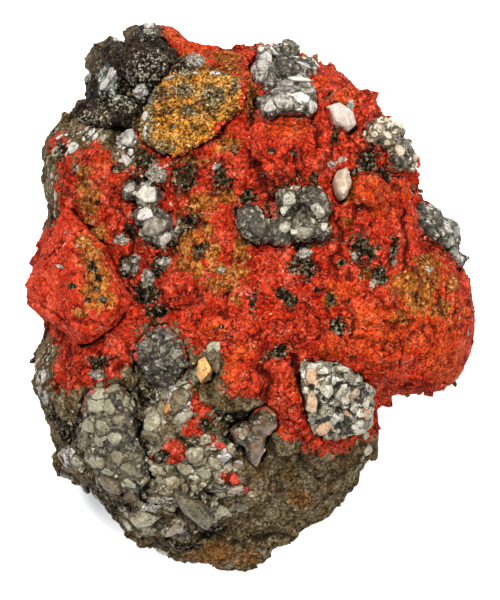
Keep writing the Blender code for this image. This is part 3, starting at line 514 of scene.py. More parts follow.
def ground_colour(paint):
    """The brown-grey ground with its rust, waxy masses, pebbles, dark ore and white grains."""
    value = paint.blend(paint.noise(0.6, 6, 0.72), paint.noise(2.6, 5, 0.65, 0.6, 3.0), 0.45)
    value = paint.math("ADD", value, paint.step(paint.kept("tone"), 0.0, 1.0, 0.0, 0.06))
    value = paint.math("ADD", value, paint.step(paint.kept("own"), 0.0, 1.0, -0.05, 0.05))
    ground = paint.ramp(
        value, (0.36, (40, 29, 15)), (0.46, (90, 74, 50)), (0.56, (130, 114, 86)), (0.68, (178, 162, 132)),
    )
    browner = paint.step(paint.noise(4.2, 4, 0.6, 0.3, 11.0), 0.52, 0.68, 0, 0.5)
    ground = paint.mix(browner, ground, tone(112, 82, 44))
    rusty = paint.noise(0.6, 5, 0.7, 0.2, 8.0)
    rusty = paint.ramp(rusty, (0.36, (84, 52, 22)), (0.5, (150, 96, 50)), (0.64, (206, 150, 90)))
    ground = paint.over(ground, rusty, "rust", 0.8, 0.8, 0.3, 5.0, strength=0.7)
    waxy = paint.ramp(
        paint.blend(paint.noise(1.2, 6, 0.68, 0.5, 21.0), paint.kept("own"), 0.25),
        (0.30, (70, 61, 42)), (0.42, (118, 108, 82)), (0.54, (158, 149, 124)), (0.72, (196, 191, 170)),
    )
    ground = paint.over(ground, waxy, "waxy", 1.5, 0.5, 0.12, 13.0)
    pebble = paint.ramp(
        paint.blend(paint.kept("own"), paint.noise(0.8, 5, 0.7, 0.3, 2.0), 0.6),
        (0.28, (84, 72, 52)), (0.42, (126, 115, 92)), (0.55, (164, 152, 128)), (0.7, (200, 190, 170)),
    )
    ground = paint.over(ground, pebble, "pebble", 0.8, 0.3, 0.12, 17.0)
    ground = paint.over(ground, dark_grains(paint, 4.0), "dark", 0.9, 0.55, 0.12, 9.0)
    white = paint.noise(0.7, 5, 0.7, 0.2, 14.0)
    white = paint.ramp(white, (0.36, (122, 110, 94)), (0.46, (186, 177, 164)), (0.58, (228, 221, 212)))
    ground = paint.over(ground, white, "white", 0.7, 0.4, 0.1, 19.0)
    ground = paint.flecks(ground, 0.5, 0.68, (196, 184, 160), 0.7, 25.0)
    return paint.flecks(ground, 0.8, 0.66, (24, 17, 8), 0.8, 35.0)


def minium_colour(paint):
    """The orange-red of the minium, with ochre, dark ore and white grains in it."""
    value = paint.blend(paint.noise(0.5, 6, 0.72, 0.0, 7.0), paint.noise(2.4, 5, 0.62, 0.5, 31.0), 0.5)
    value = paint.math("ADD", value, paint.step(paint.kept("tone"), 0.0, 1.0, 0.0, 0.05))
    red = paint.ramp(
        value, (0.37, (130, 20, 8)), (0.46, (186, 50, 30)), (0.56, (216, 76, 52)), (0.67, (246, 136, 108)),
    )
    orange = paint.ramp(value, (0.34, (176, 44, 14)), (0.52, (216, 80, 36)), (0.7, (240, 136, 84)))
    red = paint.over(red, orange, "orange", 1.6, 0.5, 0.3, 19.0, strength=0.75)
    browner = paint.step(paint.noise(1.7, 5, 0.7, 0.6, 43.0), 0.56, 0.7, 0, 0.45)
    red = paint.mix(browner, red, tone(120, 44, 18))
    ochre = paint.ramp(
        paint.blend(paint.noise(0.4, 5, 0.75, 0.0, 3.0), paint.grains(0.4, "Color", 3.0), 0.35),
        (0.30, (70, 46, 18)), (0.43, (132, 84, 32)), (0.55, (178, 116, 48)), (0.7, (214, 164, 104)),
    )
    red = paint.over(red, ochre, "ochre", 0.5, 0.9, 0.15, 23.0, strength=0.85)
    red = paint.flecks(red, 0.45, 0.66, (232, 140, 112), 0.5, 51.0)
    red = paint.flecks(red, 0.62, 0.66, (62, 30, 14), 0.8, 61.0)
    red = paint.flecks(red, 0.8, 0.72, (214, 186, 156), 0.8, 71.0)
    hairline = paint.math("MULTIPLY", paint.step(paint.crackle(2.6), 0.07, 0.015), 0.8)
    hairline = paint.math("MULTIPLY", hairline, paint.step(paint.noise(3.5, 2), 0.42, 0.52))
    red = paint.mix(hairline, red, tone(84, 14, 6))
    red = paint.over(red, dark_grains(paint, 6.0), "dark", 0.45, 0.8, 0.12, 27.0)
    white = paint.noise(0.6, 5, 0.7, 0.0, 12.0)
    white = paint.ramp(white, (0.36, (110, 98, 80)), (0.48, (168, 158, 140)), (0.62, (220, 212, 198)))
    return paint.over(red, white, "white", 0.7, 0.5, 0.1, 29.0)


def stone_paint(name, grit, relief):
    """The stone's skin: ground where the crust has gone, minium where it stayed, with a ragged line between.
    Grit is how strong its grains are, and relief how high they are."""
    paint = Paint(name)
    covered = paint.math("ADD", paint.math("MULTIPLY", paint.kept("inside"), 0.2), 0.5)
    covered = paint.math("MAXIMUM", covered, paint.kept("stain"))
    covered = paint.patch(covered, 1.1, 0.32, 0.05, 33.0, 0.6)
    colour = paint.mix(covered, ground_colour(paint), minium_colour(paint))
    colour = paint.gritty(colour, 0.22, 1 - grit, 1 + grit * 1.05, 2.0)
    # Painted shade: the colour is darkened in the cracks, clefts and seams that the hollow mask marks.
    colour = paint.darker(colour, paint.kept("hollow"), 0.1, 0.8, (0.16, 0.10, 0.07), 0.88)
    normal = paint.bump(paint.blend(paint.noise(0.45, 5, 0.72), paint.grains(0.55), 0.35), relief)
    return paint.finish(colour, 0.9, normal, Specular_IOR_Level=0.06)


STONE = stone_paint("broken_stone", 0.5, 0.75)

matrix = fine_copy("matrix", "stone_matrix", MATRIX_VOXEL, 1)
points, ways = read(matrix)
inside = inside_line(points, CRUST_EDGE)
wander = wandering(points, 1.8, 0.5)
swell = cloudy(points, 3.2, 3)
lumps = crumbly(points + wander, 2.6, 2, 5.0)
crumbs = crumbly(points + wander * 0.5, 1.1, 2, 9.0)
stand, join, own = broken(points + wander, 2.2)
fine, _, fine_own = broken(points + wander * 0.5, 0.9, 7.0)
pebble = spots(points + wander * 0.6, PEBBLES)
whole = spots(points, PEBBLES + AMBER_PEBBLES + WHITE_PEBBLES)
seen = np.clip(ways[:, 2] * 3 + 0.2, 0, 1)
flank = (1 - seen) * 1.8
waxy = spots(points, WAXY_PATCHES) * seen + flank * cloudy(points, 6.0, 3, 25.0)
chipped = np.clip(2.0 * np.maximum(waxy, pebble) - 0.5, 0, 1)
cracks = cut_lines(points, MATRIX_CRACKS, wander)
under = np.clip((inside - 0.5) / 1.0, 0.0, 1.0)
still = np.clip(points[:, 2] / 0.8, 0.0, 1.0) * (1 - 0.7 * under)
seams = cleft(join, 0.08) * chipped
rise = 0.3 * swell + (0.6 * (lumps - 0.3) + 0.35 * (crumbs - 0.3)) * (1 - 0.5 * chipped) + 0.2 * fine
rise = rise + stand * (0.25 + 0.2 * chipped) - 0.3 * seams - cracks - 0.15
points = points + ways * (rise * still)[:, None]
ground_points, ground_ways = points, ways
under_druse = close_to(points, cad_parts["galena_druse"], 3.0)
notes = dict(
    inside=np.minimum(inside, (points[:, 2] - CRUST_FOOT) / 3 + 2 * swell),
    own=0.35 * own + 0.65 * fine_own,
    pebble=pebble,
    waxy=waxy + 0.3 * (own - 0.5),
    white=spots(points, WHITE_PATCHES) * seen
    + flank * (cloudy(points, 3.0, 3, 31.0) - 0.1) + 0.35 * (fine_own - 0.5),
    dark=np.maximum(spots(points, DARK_PATCHES) * seen, under_druse)
    + flank * (cloudy(points, 4.0, 3, 37.0) - 0.05) + 0.4 * (fine_own - 0.5),
    rust=spots(points, RUSTY_PATCHES) * seen + flank * cloudy(points, 7.0, 2, 43.0),
    stain=spots(points, RED_STAINS) * seen + 0.15 * (fine_own - 0.5),
    # Where painted shade falls in the ground's cracks, clefts and seams.
    hollow=cracks + 0.7 * seams
    + (0.8 * cleft(lumps, 0.1) + 0.4 * cleft(crumbs, 0.08)) * (1 - 0.6 * chipped),
)
write(matrix, points, **notes)
small_bed = np.where((under < 0.2) & (chipped > 0.4) & (whole < 0.5) & (ways[:, 2] > 0.1), 0.5, 0)
bare = (under < 0.2) & (points[:, 2] > 1.0) & (notes["hollow"] < 0.5) & (whole < 0.5)
crumb_bed = np.where(bare & (ways[:, 2] > 0.25), 0.5 * (1 - 0.8 * chipped), 0)
brown_crumbs = chips(
    "brown_crumbs", points, ways, crumb_bed, BROWN_CRUMBS, BROWN_CRUMB_SIZES, (0.8, 0.5), 0.15, 0.25, 3,
    **notes,
)
for piece in (matrix, brown_crumbs):
    piece.data.materials.append(STONE)
    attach(piece, "root")
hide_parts("matrix")

# The minium crust: an earthy orange-red sheet of lead oxide that grew over the ore. It has broken into lumps
# and flakes, and it holds ochre, dark specks of galena and white grains.
CRUST_VOXEL = 0.37
RED_CRUMBS = 900
RED_CRUMB_SIZES = (0.4, 2.2)
ORE_GRAINS = 900
ORE_GRAIN_SIZES = (0.3, 0.9)
OCHRE_IN_CRUST = (
    (-3.8, 29.0, 2.8, 1.2, 0), (-3.0, 30.2, 2.0, 0.8, 0), (-0.9, 26.2, 0.6, 2.0, 0),
    (-19.9, 11.9, 1.4, 2.2, 0), (-7.5, 7.2, 2.0, 2.5, 0), (-6.4, 3.8, 1.1, 1.5, 0),
    (-3.8, 3.8, 1.1, 0.9, 0), (21.0, 0.0, 2.2, 2.0, 20), (22.2, 4.5, 1.8, 1.2, 0),
    (14.5, 3.1, 0.9, 0.9, 0), (12.2, 9.5, 0.8, 0.6, 0), (-1.8, 3.2, 1.8, 1.0, 0),
    (-18.8, 8.2, 1.0, 1.2, 0), (18.8, -2.5, 1.0, 0.8, 0), (23.8, -1.2, 1.2, 1.2, 0),
    (-3.2, 12.8, 1.2, 0.9, 0), (-20.5, 14.1, 1.1, 0.9, 0), (10.0, -0.2, 1.0, 0.8, 0),
    (-9.2, 9.5, 1.0, 1.0, 0), (-4.8, 6.0, 1.0, 1.2, 0), (-6.2, 11.6, 2.2, 1.5, 0),
    (-3.5, 1.5, 2.0, 1.0, 0), (0.0, 24.8, 0.8, 2.5, 0), (-2.8, 19.0, 2.0, 1.0, 20),
    (-6.8, 17.0, 2.2, 0.6, 0), (-20.2, 8.5, 0.6, 2.0, -20), (-8.2, 4.5, 1.5, 1.0, 0),
    (-1.2, 6.0, 1.0, 1.8, 0), (-21.2, 16.0, 1.2, 1.0, 0), (20.5, 2.0, 3.2, 1.8, 10),
    (-1.8, -0.2, 0.8, 0.6, 0), (25.2, 1.6, 1.0, 1.0, 0), (12.2, 13.0, 0.6, 1.5, -20),
    (-5.6, 8.5, 0.9, 1.1, 0),
)
DARK_IN_CRUST = (
    (-3.6, 14.8, 1.1, 1.9, 10), (-8.2, 15.0, 1.6, 2.1, 0), (-12.8, 14.0, 2.5, 2.2, 0),
    (-19.1, -8.0, 1.5, 1.0, 0), (6.4, 4.1, 1.8, 1.6, 0), (13.9, 6.2, 1.6, 1.6, 0),
    (17.8, 5.8, 0.5, 1.8, -15), (16.0, 2.6, 1.1, 1.2, 0), (4.5, 0.1, 1.0, 1.5, 30),
    (8.4, 1.2, 0.6, 0.5, 0), (10.0, -0.1, 0.6, 0.9, 20), (10.2, 25.1, 0.5, 0.8, 0),
    (10.8, 19.9, 0.5, 1.0, 0), (5.6, 17.9, 0.6, 0.6, 0), (8.2, 14.5, 0.5, 1.0, 0),
    (6.1, 15.2, 0.4, 0.5, 0), (15.0, 17.2, 1.4, 1.6, 20), (17.5, 15.9, 1.4, 1.0, 0),
    (13.2, 15.9, 1.2, 0.6, 0), (20.2, 13.4, 0.4, 0.6, 0), (23.0, 9.8, 1.2, 2.1, -30),
    (0.4, 23.2, 1.1, 0.8, 0), (-13.1, 0.6, 2.2, 1.5, 0), (3.4, -6.9, 2.0, 0.6, 20),
    (-11.6, -1.5, 1.8, 0.9, 0), (-15.0, 8.2, 1.1, 1.2, 0), (-15.8, 3.5, 1.6, 1.5, 0),
    (-11.2, 4.2, 1.0, 1.2, 0), (-18.6, 4.5, 0.5, 1.8, -25), (-19.9, 7.5, 0.6, 1.2, -40),
    (-16.5, 15.9, 0.6, 0.6, 0), (-13.2, 17.2, 2.0, 1.1, 0), (10.9, -3.5, 1.1, 0.9, -40),
    (0.5, -0.6, 0.6, 0.9, 0), (0.8, 9.0, 1.5, 2.2, 0), (4.8, 11.2, 3.2, 2.8, 0), (6.2, 7.2, 3.5, 1.0, 0),
    (-3.8, -3.6, 0.4, 0.5, 0), (12.2, -0.5, 0.4, 0.4, 0), (-23.8, 18.5, 0.8, 1.2, 0),
    (-8.1, 29.2, 1.8, 1.2, 0), (-1.8, 23.5, 0.6, 0.6, 0), (-0.2, 12.5, 1.2, 0.9, 0),
    (-11.2, 8.2, 2.5, 2.5, 0), (-7.5, 9.5, 1.2, 1.0, 0), (-6.2, 6.0, 0.9, 1.1, 0),
    (-13.0, 11.2, 1.5, 2.0, 0), (-17.1, -0.2, 0.8, 1.1, -30), (2.8, 18.5, 0.5, 0.4, 0),
    (1.5, 15.2, 0.4, 0.5, 0), (-1.8, 10.8, 0.5, 1.2, 0), (12.8, 21.0, 0.8, 0.5, -40),
    (-2.2, 18.5, 0.5, 0.4, 0), (11.2, 4.5, 0.5, 0.5, 0),
)
WHITE_IN_CRUST = (
    (-11.6, 15.6, 1.2, 1.1, 0), (-4.2, 16.4, 0.6, 0.4, 0), (-14.9, 4.0, 1.1, 0.9, 0),
    (-12.6, 2.6, 0.8, 1.0, 0), (-10.6, 4.5, 0.8, 0.6, 0), (-19.0, -9.5, 1.0, 0.6, 0),
    (6.4, 5.4, 0.8, 0.4, 0), (13.0, 5.2, 0.4, 0.5, 0), (18.0, 4.5, 0.2, 0.5, -20),
    (12.5, 24.0, 0.5, 0.6, 0), (0.0, 9.4, 1.0, 1.4, 0), (-16.0, 7.2, 1.0, 0.6, 0),
    (-9.9, 8.8, 1.0, 1.2, 0), (-21.8, 16.2, 0.5, 0.4, 0), (10.2, 16.6, 0.6, 0.4, 0),
    (27.4, -4.1, 0.2, 0.6, 0), (-6.9, 29.8, 1.2, 0.8, 0), (-3.5, 3.5, 0.5, 0.4, 0),
    (-10.9, 6.8, 0.8, 0.8, 0), (-14.2, 5.0, 0.6, 0.5, 0), (6.2, 15.0, 0.2, 0.2, 0),
    (15.2, 1.8, 0.4, 0.5, 0), (22.2, 3.5, 0.4, 0.5, 0), (11.5, 17.2, 0.5, 0.2, 0),
)
ORANGE_IN_CRUST = (
    (11.9, 1.1, 2.0, 1.2, 0), (15.1, 13.2, 2.8, 1.9, 0), (16.2, 11.0, 1.8, 1.2, 0),
    (-8.1, 32.5, 2.8, 1.5, -30), (18.8, 13.5, 1.8, 1.0, 0), (6.2, -10.2, 1.5, 2.5, 0),
    (10.0, -6.5, 1.5, 1.0, 0), (-0.6, -6.5, 1.8, 1.0, 0), (5.0, 21.2, 2.8, 1.5, 0),
    (8.5, 27.2, 1.5, 1.0, 0), (16.2, -4.0, 5.0, 3.8, 0), (23.8, -5.2, 3.0, 6.2, 10),
    (-18.1, 16.9, 1.5, 1.0, 0), (-4.4, -4.0, 1.8, 1.0, 0), (26.2, -1.5, 1.5, 1.8, 0),
    (12.0, 24.8, 1.2, 2.5, -30), (-2.5, -9.2, 1.2, 1.8, 0),
)
# Places where the crust is smooth and has few crumbs.
CALM_CRUST = (
    (24.5, -2.5, 4.2, 8.8, 10), (12.5, -4.0, 5.0, 3.2, 0), (-8.1, 32.5, 3.2, 2.2, -30),
    (-1.2, -4.0, 5.0, 3.8, 0), (-17.5, -4.0, 5.0, 2.5, 30), (5.0, 22.2, 3.8, 3.8, 0),
    (17.8, 10.4, 3.2, 3.8, 0), (-18.8, 17.2, 3.0, 2.0, 0), (4.0, -11.5, 2.5, 3.8, 0),
)
CRUST_CRACKS = (
    ([(0.0, 18.5), (0.6, 16.2), (1.5, 13.5)], 0.25, 1.1),
    ([(5.8, 17.5), (6.0, 15.5)], 0.25, 1.0),
    ([(19.2, 11.5), (19.4, 7.2), (19.2, 3.8)], 0.22, 1.1),
    ([(21.1, -2.9), (21.5, -4.2), (22.0, -5.6)], 0.16, 0.6),
    ([(18.2, -3.0), (17.2, -4.8), (16.8, -6.8)], 0.16, 0.6),
    ([(22.1, 2.5), (23.0, 1.2), (23.8, 0.1)], 0.16, 0.5),
    ([(24.0, -2.0), (24.8, -3.0), (25.2, -4.1)], 0.16, 0.5),
    ([(9.6, 5.9), (10.2, 4.8), (11.0, 3.6)], 0.22, 0.8),
    ([(-15.4, -1.0), (-17.5, -3.5), (-21.0, -5.6)], 0.4, 1.2),
    ([(5.2, -7.0), (6.0, -9.2), (6.6, -11.1), (7.0, -14.0)], 0.25, 1.2),
    ([(-2.8, 1.0), (-3.0, -0.5), (-2.5, -2.5)], 0.18, 0.7),
    ([(11.2, -0.2), (12.8, -2.5), (12.5, -4.8)], 0.2, 0.7),
    ([(17.5, -2.8), (18.8, -6.0), (18.5, -9.2)], 0.16, 0.7),
    ([(10.0, 10.5), (11.0, 7.8), (10.8, 5.8)], 0.25, 0.8),
    ([(-6.8, 1.0), (-5.8, -1.5), (-6.8, -4.0)], 0.2, 0.7),
    ([(6.2, -0.2), (8.5, -2.5), (9.0, -4.8)], 0.2, 0.6),
    ([(-0.5, 26.8), (0.8, 24.8), (0.2, 21.8)], 0.25, 0.9),
    ([(-15.6, 8.2), (-14.8, 5.8), (-15.2, 1.8), (-13.8, -0.2)], 0.3, 0.8),
    ([(6.9, 23.2), (8.8, 21.2), (8.5, 18.5)], 0.25, 0.8),
    ([(12.5, 19.8), (14.0, 18.5)], 0.25, 0.8),
    ([(1.5, -8.5), (2.5, -10.5), (2.0, -13.0)], 0.25, 0.9),
    ([(-20.1, 9.0), (-18.2, 6.0), (-17.2, 1.8), (-15.4, -1.0)], 0.35, 1.2),
    ([(12.2, 10.8), (13.2, 7.8)], 0.2, 0.6),
)

crust = fine_copy("minium_crust", "red_minium_crust", CRUST_VOXEL, 1)
points, ways = read(crust)
inside = inside_line(points, CRUST_EDGE)
wander = wandering(points, 2.2, 0.8)
swell = cloudy(points, 4.5, 3, 14.0)
lumps = crumbly(points + wander, 3.6, 2, 2.0)
crumbs = crumbly(points + wander * 0.5, 1.5, 2, 6.0)
grains = crumbly(points, 0.8, 1, 4.0)
stand, join, own = broken(points + wander, 2.8, 8.0)
fine, _, fine_own = broken(points + wander * 0.5, 0.95, 3.0)
cracks = cut_lines(points, CRUST_CRACKS, wander * 0.5)
seen = np.clip(ways[:, 2] * 3 + 0.2, 0, 1)
flank = (1 - seen) * 1.6
dark = spots(points + wander * 0.5, DARK_IN_CRUST) * seen + flank * (cloudy(points, 4.0, 3, 37.0) - 0.1)
dark = dark + 0.45 * (fine_own - 0.5)
calm = np.clip(spots(points, CALM_CRUST) * 2, 0, 1)
rise = (lumps - 0.3 + 0.35 * (crumbs - 0.3) + 0.75 * stand) * (1 - 0.45 * calm) + 0.1 * (grains - 0.25)
rise = rise + 0.5 * swell + 0.2 * fine - cracks - 0.3 * np.clip(dark, 0, 1) - 0.05
rise = rise * (0.45 + 0.55 * np.clip(ways[:, 2] * 1.6, 0, 1)) + 0.35 * close_to(points, matrix, 0.7)
points = points + ways * rise[:, None]
notes = dict(
    inside=np.minimum(inside, (points[:, 2] - 0.4 * CRUST_FOOT) / 3 + 2 * swell),
    own=own,
    white=spots(points, WHITE_IN_CRUST) * seen + 0.35 * (fine_own - 0.5),
    dark=dark,
    ochre=spots(points + wander * 0.5, OCHRE_IN_CRUST) * seen + flank * cloudy(points, 5.0, 3, 31.0)
    + 0.3 * (fine_own - 0.5),
    orange=spots(points, ORANGE_IN_CRUST),
    # Where painted shade falls in the crust's cracks and clefts.
    hollow=cracks + 0.85 * cleft(lumps, 0.1) + 0.5 * cleft(crumbs, 0.09) + 0.35 * cleft(join, 0.05),
)
write(crust, points, **notes)
bed = np.where((notes["hollow"] < 0.5) & (ways[:, 2] > -0.2) & (inside > 0.7), 0.5 * (1 - 0.8 * calm), 0)
grainy = np.clip(2 * np.maximum(dark, notes["white"]) - 0.7, 0, 1)
grain_bed = np.where((ways[:, 2] > 0) & (inside > 0.3), grainy, 0)
notes["inside"] = np.full(len(points), 9.0)
red_crumbs = chips(
    "red_crumbs", points, ways, bed, RED_CRUMBS, RED_CRUMB_SIZES, (0.8, 0.5), 0.25, 0.2, 7, **notes
)
ore_grains = chips(
    "ore_grains", points, ways, grain_bed, ORE_GRAINS, ORE_GRAIN_SIZES, (0.8, 0.8), 0.45, 0.5, 9, **notes
)
for piece in (crust, red_crumbs, ore_grains):
    piece.data.materials.append(STONE)
    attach(piece, "root")
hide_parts("minium_crust")

# Pebbles and stubby crystals: pieces of cerussite and quartz with smooth broken faces, which the ground and
# the crust hold. Some are white, some are waxy and greenish, and iron has coloured a few orange.
PALE_PEBBLES = 170
PALE_PEBBLE_SIZES = (0.35, 1.1)
WHITE_GRAIN_COUNT = 150
WHITE_GRAIN_SIZES = (0.2, 0.7)
# Places that are crowded with small white grains.
WHITE_GRAINS = (
    (-20.0, 20.4, 2.8, 1.0, 5), (-22.8, 19.2, 1.2, 1.5, -20), (-15.4, 19.2, 1.4, 2.0, 0),
    (-15.2, 17.0, 0.9, 1.2, 0), (-25.5, 14.8, 0.5, 3.2, 0), (-25.8, -9.0, 0.8, 1.8, 10),
    (-25.0, -6.8, 0.8, 1.1, 20), (-23.8, 20.8, 1.0, 0.9, 0), (-3.5, -20.5, 1.8, 1.0, -30),
    (-22.8, -21.2, 1.0, 1.0, 0),
)
# A pebble's rings from its foot up: scale, height for its half width, and how much painted shade
# darkens its side there.
PEBBLE_RINGS = (
    (1.0, -0.9, 1.0), (1.0, 0.15, 0.9), (0.94, 0.5, 0.4), (0.82, 0.72, 0.1), (0.55, 0.88, 0.0),
    (0.25, 0.95, 0.0),
)
PEBBLE_SIDES = 26
PEBBLE_POINTS = len(PEBBLE_RINGS) * PEBBLE_SIDES + 1
PEBBLE_BED_DEPTH = 1.2
FAR_AWAY = 50
# How near two scattered ovals' middles may be, for their half lengths together.
OVAL_SPACING = 0.85


def pebbles(name, points, ways, ovals, high, seed, **notes):
    """Smooth pieces with uneven flat sides, set in a surface where these ovals are, seen from above. Each
    has the surface's values from its middle, a tone of its own, and painted shade on its foot and sides."""
    lots = np.random.default_rng(seed)
    turns = np.arange(PEBBLE_SIDES) * 2 * math.pi / PEBBLE_SIDES
    made, faces, used, tones, side_shades = [], [], [], [], []
    for step, (x, y, half_length, half_width, turn) in enumerate(ovals):
        # The surface under the oval, without what is steep or lies well below the highest of it.
        away = np.hypot(points[:, 0] - x, points[:, 1] - y) + FAR_AWAY * (ways[:, 2] < 0.1)
        near = away < max(0.6 * half_width, away.min() + 0.2)
        near &= points[:, 2] > points[near, 2].max() - PEBBLE_BED_DEPTH
        source = int(np.argmax(near))
        up = Vector(ways[near].mean(axis=0)).normalized()
        along = Vector((math.cos(math.radians(turn)), math.sin(math.radians(turn)), 0))
        along = (along - up * along.dot(up)).normalized()
        frame_of_piece = np.array([along, up.cross(along), up])
        count = lots.integers(5, 8)
        sides = (np.arange(count) + lots.uniform(-0.3, 0.3, count)) * 2 * math.pi / count
        facing = np.maximum(np.cos(turns[:, None] - sides), 0.2)
        reach = np.minimum((lots.uniform(0.72, 1.0, count) / facing).min(axis=1), 1.25)
        outline = np.column_stack([np.cos(turns) * half_length, np.sin(turns) * half_width])
        outline = outline * reach[:, None]
        lean = lots.uniform(-0.2, 0.2, 2)
        rings = [
            np.column_stack([outline * scale, height * high * half_width + outline @ lean * scale])
            for scale, height, side_shade in PEBBLE_RINGS
        ]
        piece_points = np.vstack(rings + [[(0, 0, high * half_width)]])
        made.append(piece_points @ frame_of_piece + points[near].mean(axis=0))
        first = step * PEBBLE_POINTS
        for corner in range(PEBBLE_SIDES):
            after = (corner + 1) % PEBBLE_SIDES
            for ring in range(len(PEBBLE_RINGS) - 1):
                low, top = first + ring * PEBBLE_SIDES, first + (ring + 1) * PEBBLE_SIDES
                faces.append((low + corner, low + after, top + after, top + corner))
            faces.append((top + corner, top + after, first + PEBBLE_POINTS - 1))
        used.append(source)
        tones += [lots.random()] * len(piece_points)
        side_shades += [side_shade for scale, height, side_shade in PEBBLE_RINGS for corner in range(PEBBLE_SIDES)] + [0.0]
    values = {key: np.repeat(np.asarray(value)[used], PEBBLE_POINTS) for key, value in notes.items()}
    piece = new_piece(name, np.vstack(made), faces, dict(values, tone=tones, side_shade=side_shades))
    piece.data.shade_smooth()
    return piece


def scattered(points, weight, count, sizes, seed):
    """Ovals at random where the weight is high, none of them over another."""
    lots = np.random.default_rng(seed)
    ovals = []
    for i in lots.permutation(len(points)):
        half = sizes[0] * (sizes[1] / sizes[0]) ** lots.random()
        x, y = points[i, :2]
        if lots.random() >= weight[i]:
            continue
        if all(math.hypot(x - o[0], y - o[1]) > OVAL_SPACING * (half + o[2]) for o in ovals):
            ovals.append((x, y, half, half * lots.uniform(0.6, 1.0), lots.uniform(0, 180)))
            if len(ovals) == count:
                break
    return ovals


small = scattered(ground_points, small_bed, PALE_PEBBLES, PALE_PEBBLE_SIZES, 5)
held = np.vstack([ground_points, points])
held_ways = np.vstack([ground_ways, ways])
grain_bed = np.where(held_ways[:, 2] > 0.1, np.clip(2 * spots(held, WHITE_GRAINS) - 0.9, 0, 1), 0)
white_grains = scattered(held, grain_bed, WHITE_GRAIN_COUNT, WHITE_GRAIN_SIZES, 6)
nothing = np.zeros(len(held))
notes = dict(white=nothing, rust=nothing, dark=spots(held, DARK_PATCHES), stain=spots(held, RED_STAINS))
ovals = list(PEBBLES) + small
pale_pebbles = pebbles("pale_pebbles", held, held_ways, ovals, 0.35, 15, **notes)
notes["rust"] = nothing + 1
amber_pebbles = pebbles("amber_pebbles", held, held_ways, AMBER_PEBBLES, 0.4, 16, **notes)
notes.update(rust=nothing, white=nothing + 1, dark=nothing)
ovals = list(WHITE_PEBBLES) + white_grains
white_pebbles = pebbles("white_pebbles", held, held_ways, ovals, 0.35, 17, **notes)
paint = Paint("smooth_pebbles")
value = paint.blend(paint.noise(1.0, 6, 0.7, 0.5), paint.kept("tone"), 0.3)
colour = paint.ramp(
    value, (0.30, (74, 64, 44)), (0.42, (116, 106, 80)), (0.54, (150, 142, 114)), (0.68, (186, 180, 156)),
)
brown = paint.ramp(value, (0.32, (70, 50, 32)), (0.5, (126, 100, 74)), (0.68, (178, 156, 130)))
colour = paint.mix(paint.step(paint.noise(4.0, 3, 0.5, 0.2, 5.0), 0.48, 0.6, 0, 0.8), colour, brown)
white = paint.ramp(value, (0.32, (92, 84, 74)), (0.45, (148, 139, 128)), (0.6, (204, 198, 188)))
colour = paint.over(colour, white, "white", 0.9, 0.4, 0.15, 9.0)
amber = paint.ramp(value, (0.32, (146, 74, 24)), (0.46, (204, 118, 50)), (0.62, (228, 168, 104)))
colour = paint.over(colour, amber, "rust", 0.9, 0.5, 0.2, 13.0)
colour = paint.over(colour, dark_grains(paint, 4.0), "dark", 0.8, 0.8, 0.1, 17.0)
colour = paint.over(colour, minium_colour(paint), "stain", 0.9, 0.5, 0.08, 21.0)
colour = paint.flecks(colour, 0.5, 0.64, (54, 44, 26), 0.75, 25.0)
colour = paint.gritty(colour, 0.25, 0.72, 1.28, 2.0)
# Painted shade: the pebbles' feet and sides are darkened, their tops left light.
colour = paint.darker(colour, paint.kept("side_shade"), 0.15, 1.0, (0.2, 0.16, 0.12), 0.85)
normal = paint.bump(paint.blend(paint.noise(0.7, 5, 0.65), paint.noise(0.25, 3, 0.6), 0.3), 0.3)
PEBBLE = paint.finish(colour, 0.55, normal, Specular_IOR_Level=0.2)
for piece in (pale_pebbles, amber_pebbles, white_pebbles):
    piece.data.materials.append(PEBBLE)
    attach(piece, "root")

# The red block at the left edge: one thick chip of minium with smoother broken faces. Fine striae slant
# across it, and ochre dust lies on its right half.
BLOCK_VOXEL = 0.2
BLOCK_OCHRE = (
    (-19.8, 5.0, 1.5, 2.0, 20), (-18.8, 2.5, 1.5, 1.8, 0), (-18.5, -0.2, 1.8, 1.5, 0),
    (-20.8, 6.8, 1.0, 1.0, 0), (-20.0, 1.0, 1.0, 1.2, 0), (-21.0, -1.8, 1.0, 0.6, 0),
)
BLOCK_DARK = (
    (-19.5, 3.8, 0.6, 0.8, 0), (-18.8, 2.5, 0.6, 0.5, 0), (-19.0, 1.1, 0.5, 0.4, 0),
    (-22.0, 1.5, 0.6, 0.4, 0), (-18.2, -0.2, 0.6, 0.5, 0), (-20.2, -0.2, 0.5, 0.4, 0),
)
BLOCK_WHITE = ((-23.6, 3.9, 0.6, 0.2, -20), (-21.5, 6.5, 0.2, 0.2, 0), (-23.0, 8.2, 0.2, 0.2, 0))
BLOCK_CRACKS = (
    ([(-27.0, 4.5), (-24.8, 5.2), (-23.0, 7.2)], 0.15, 0.25),
    ([(-22.2, 7.2), (-21.0, 4.5), (-20.5, 2.2)], 0.15, 0.25),
    ([(-26.2, -1.0), (-22.5, -2.8), (-19.2, -3.0)], 0.2, 0.3),
    ([(-23.5, 10.5), (-22.0, 8.2), (-19.8, 5.2)], 0.15, 0.2),
)
# How far apart the striae are, and how far they stand out.
STRIAE = 0.84
STRIAE_RISE = 0.07

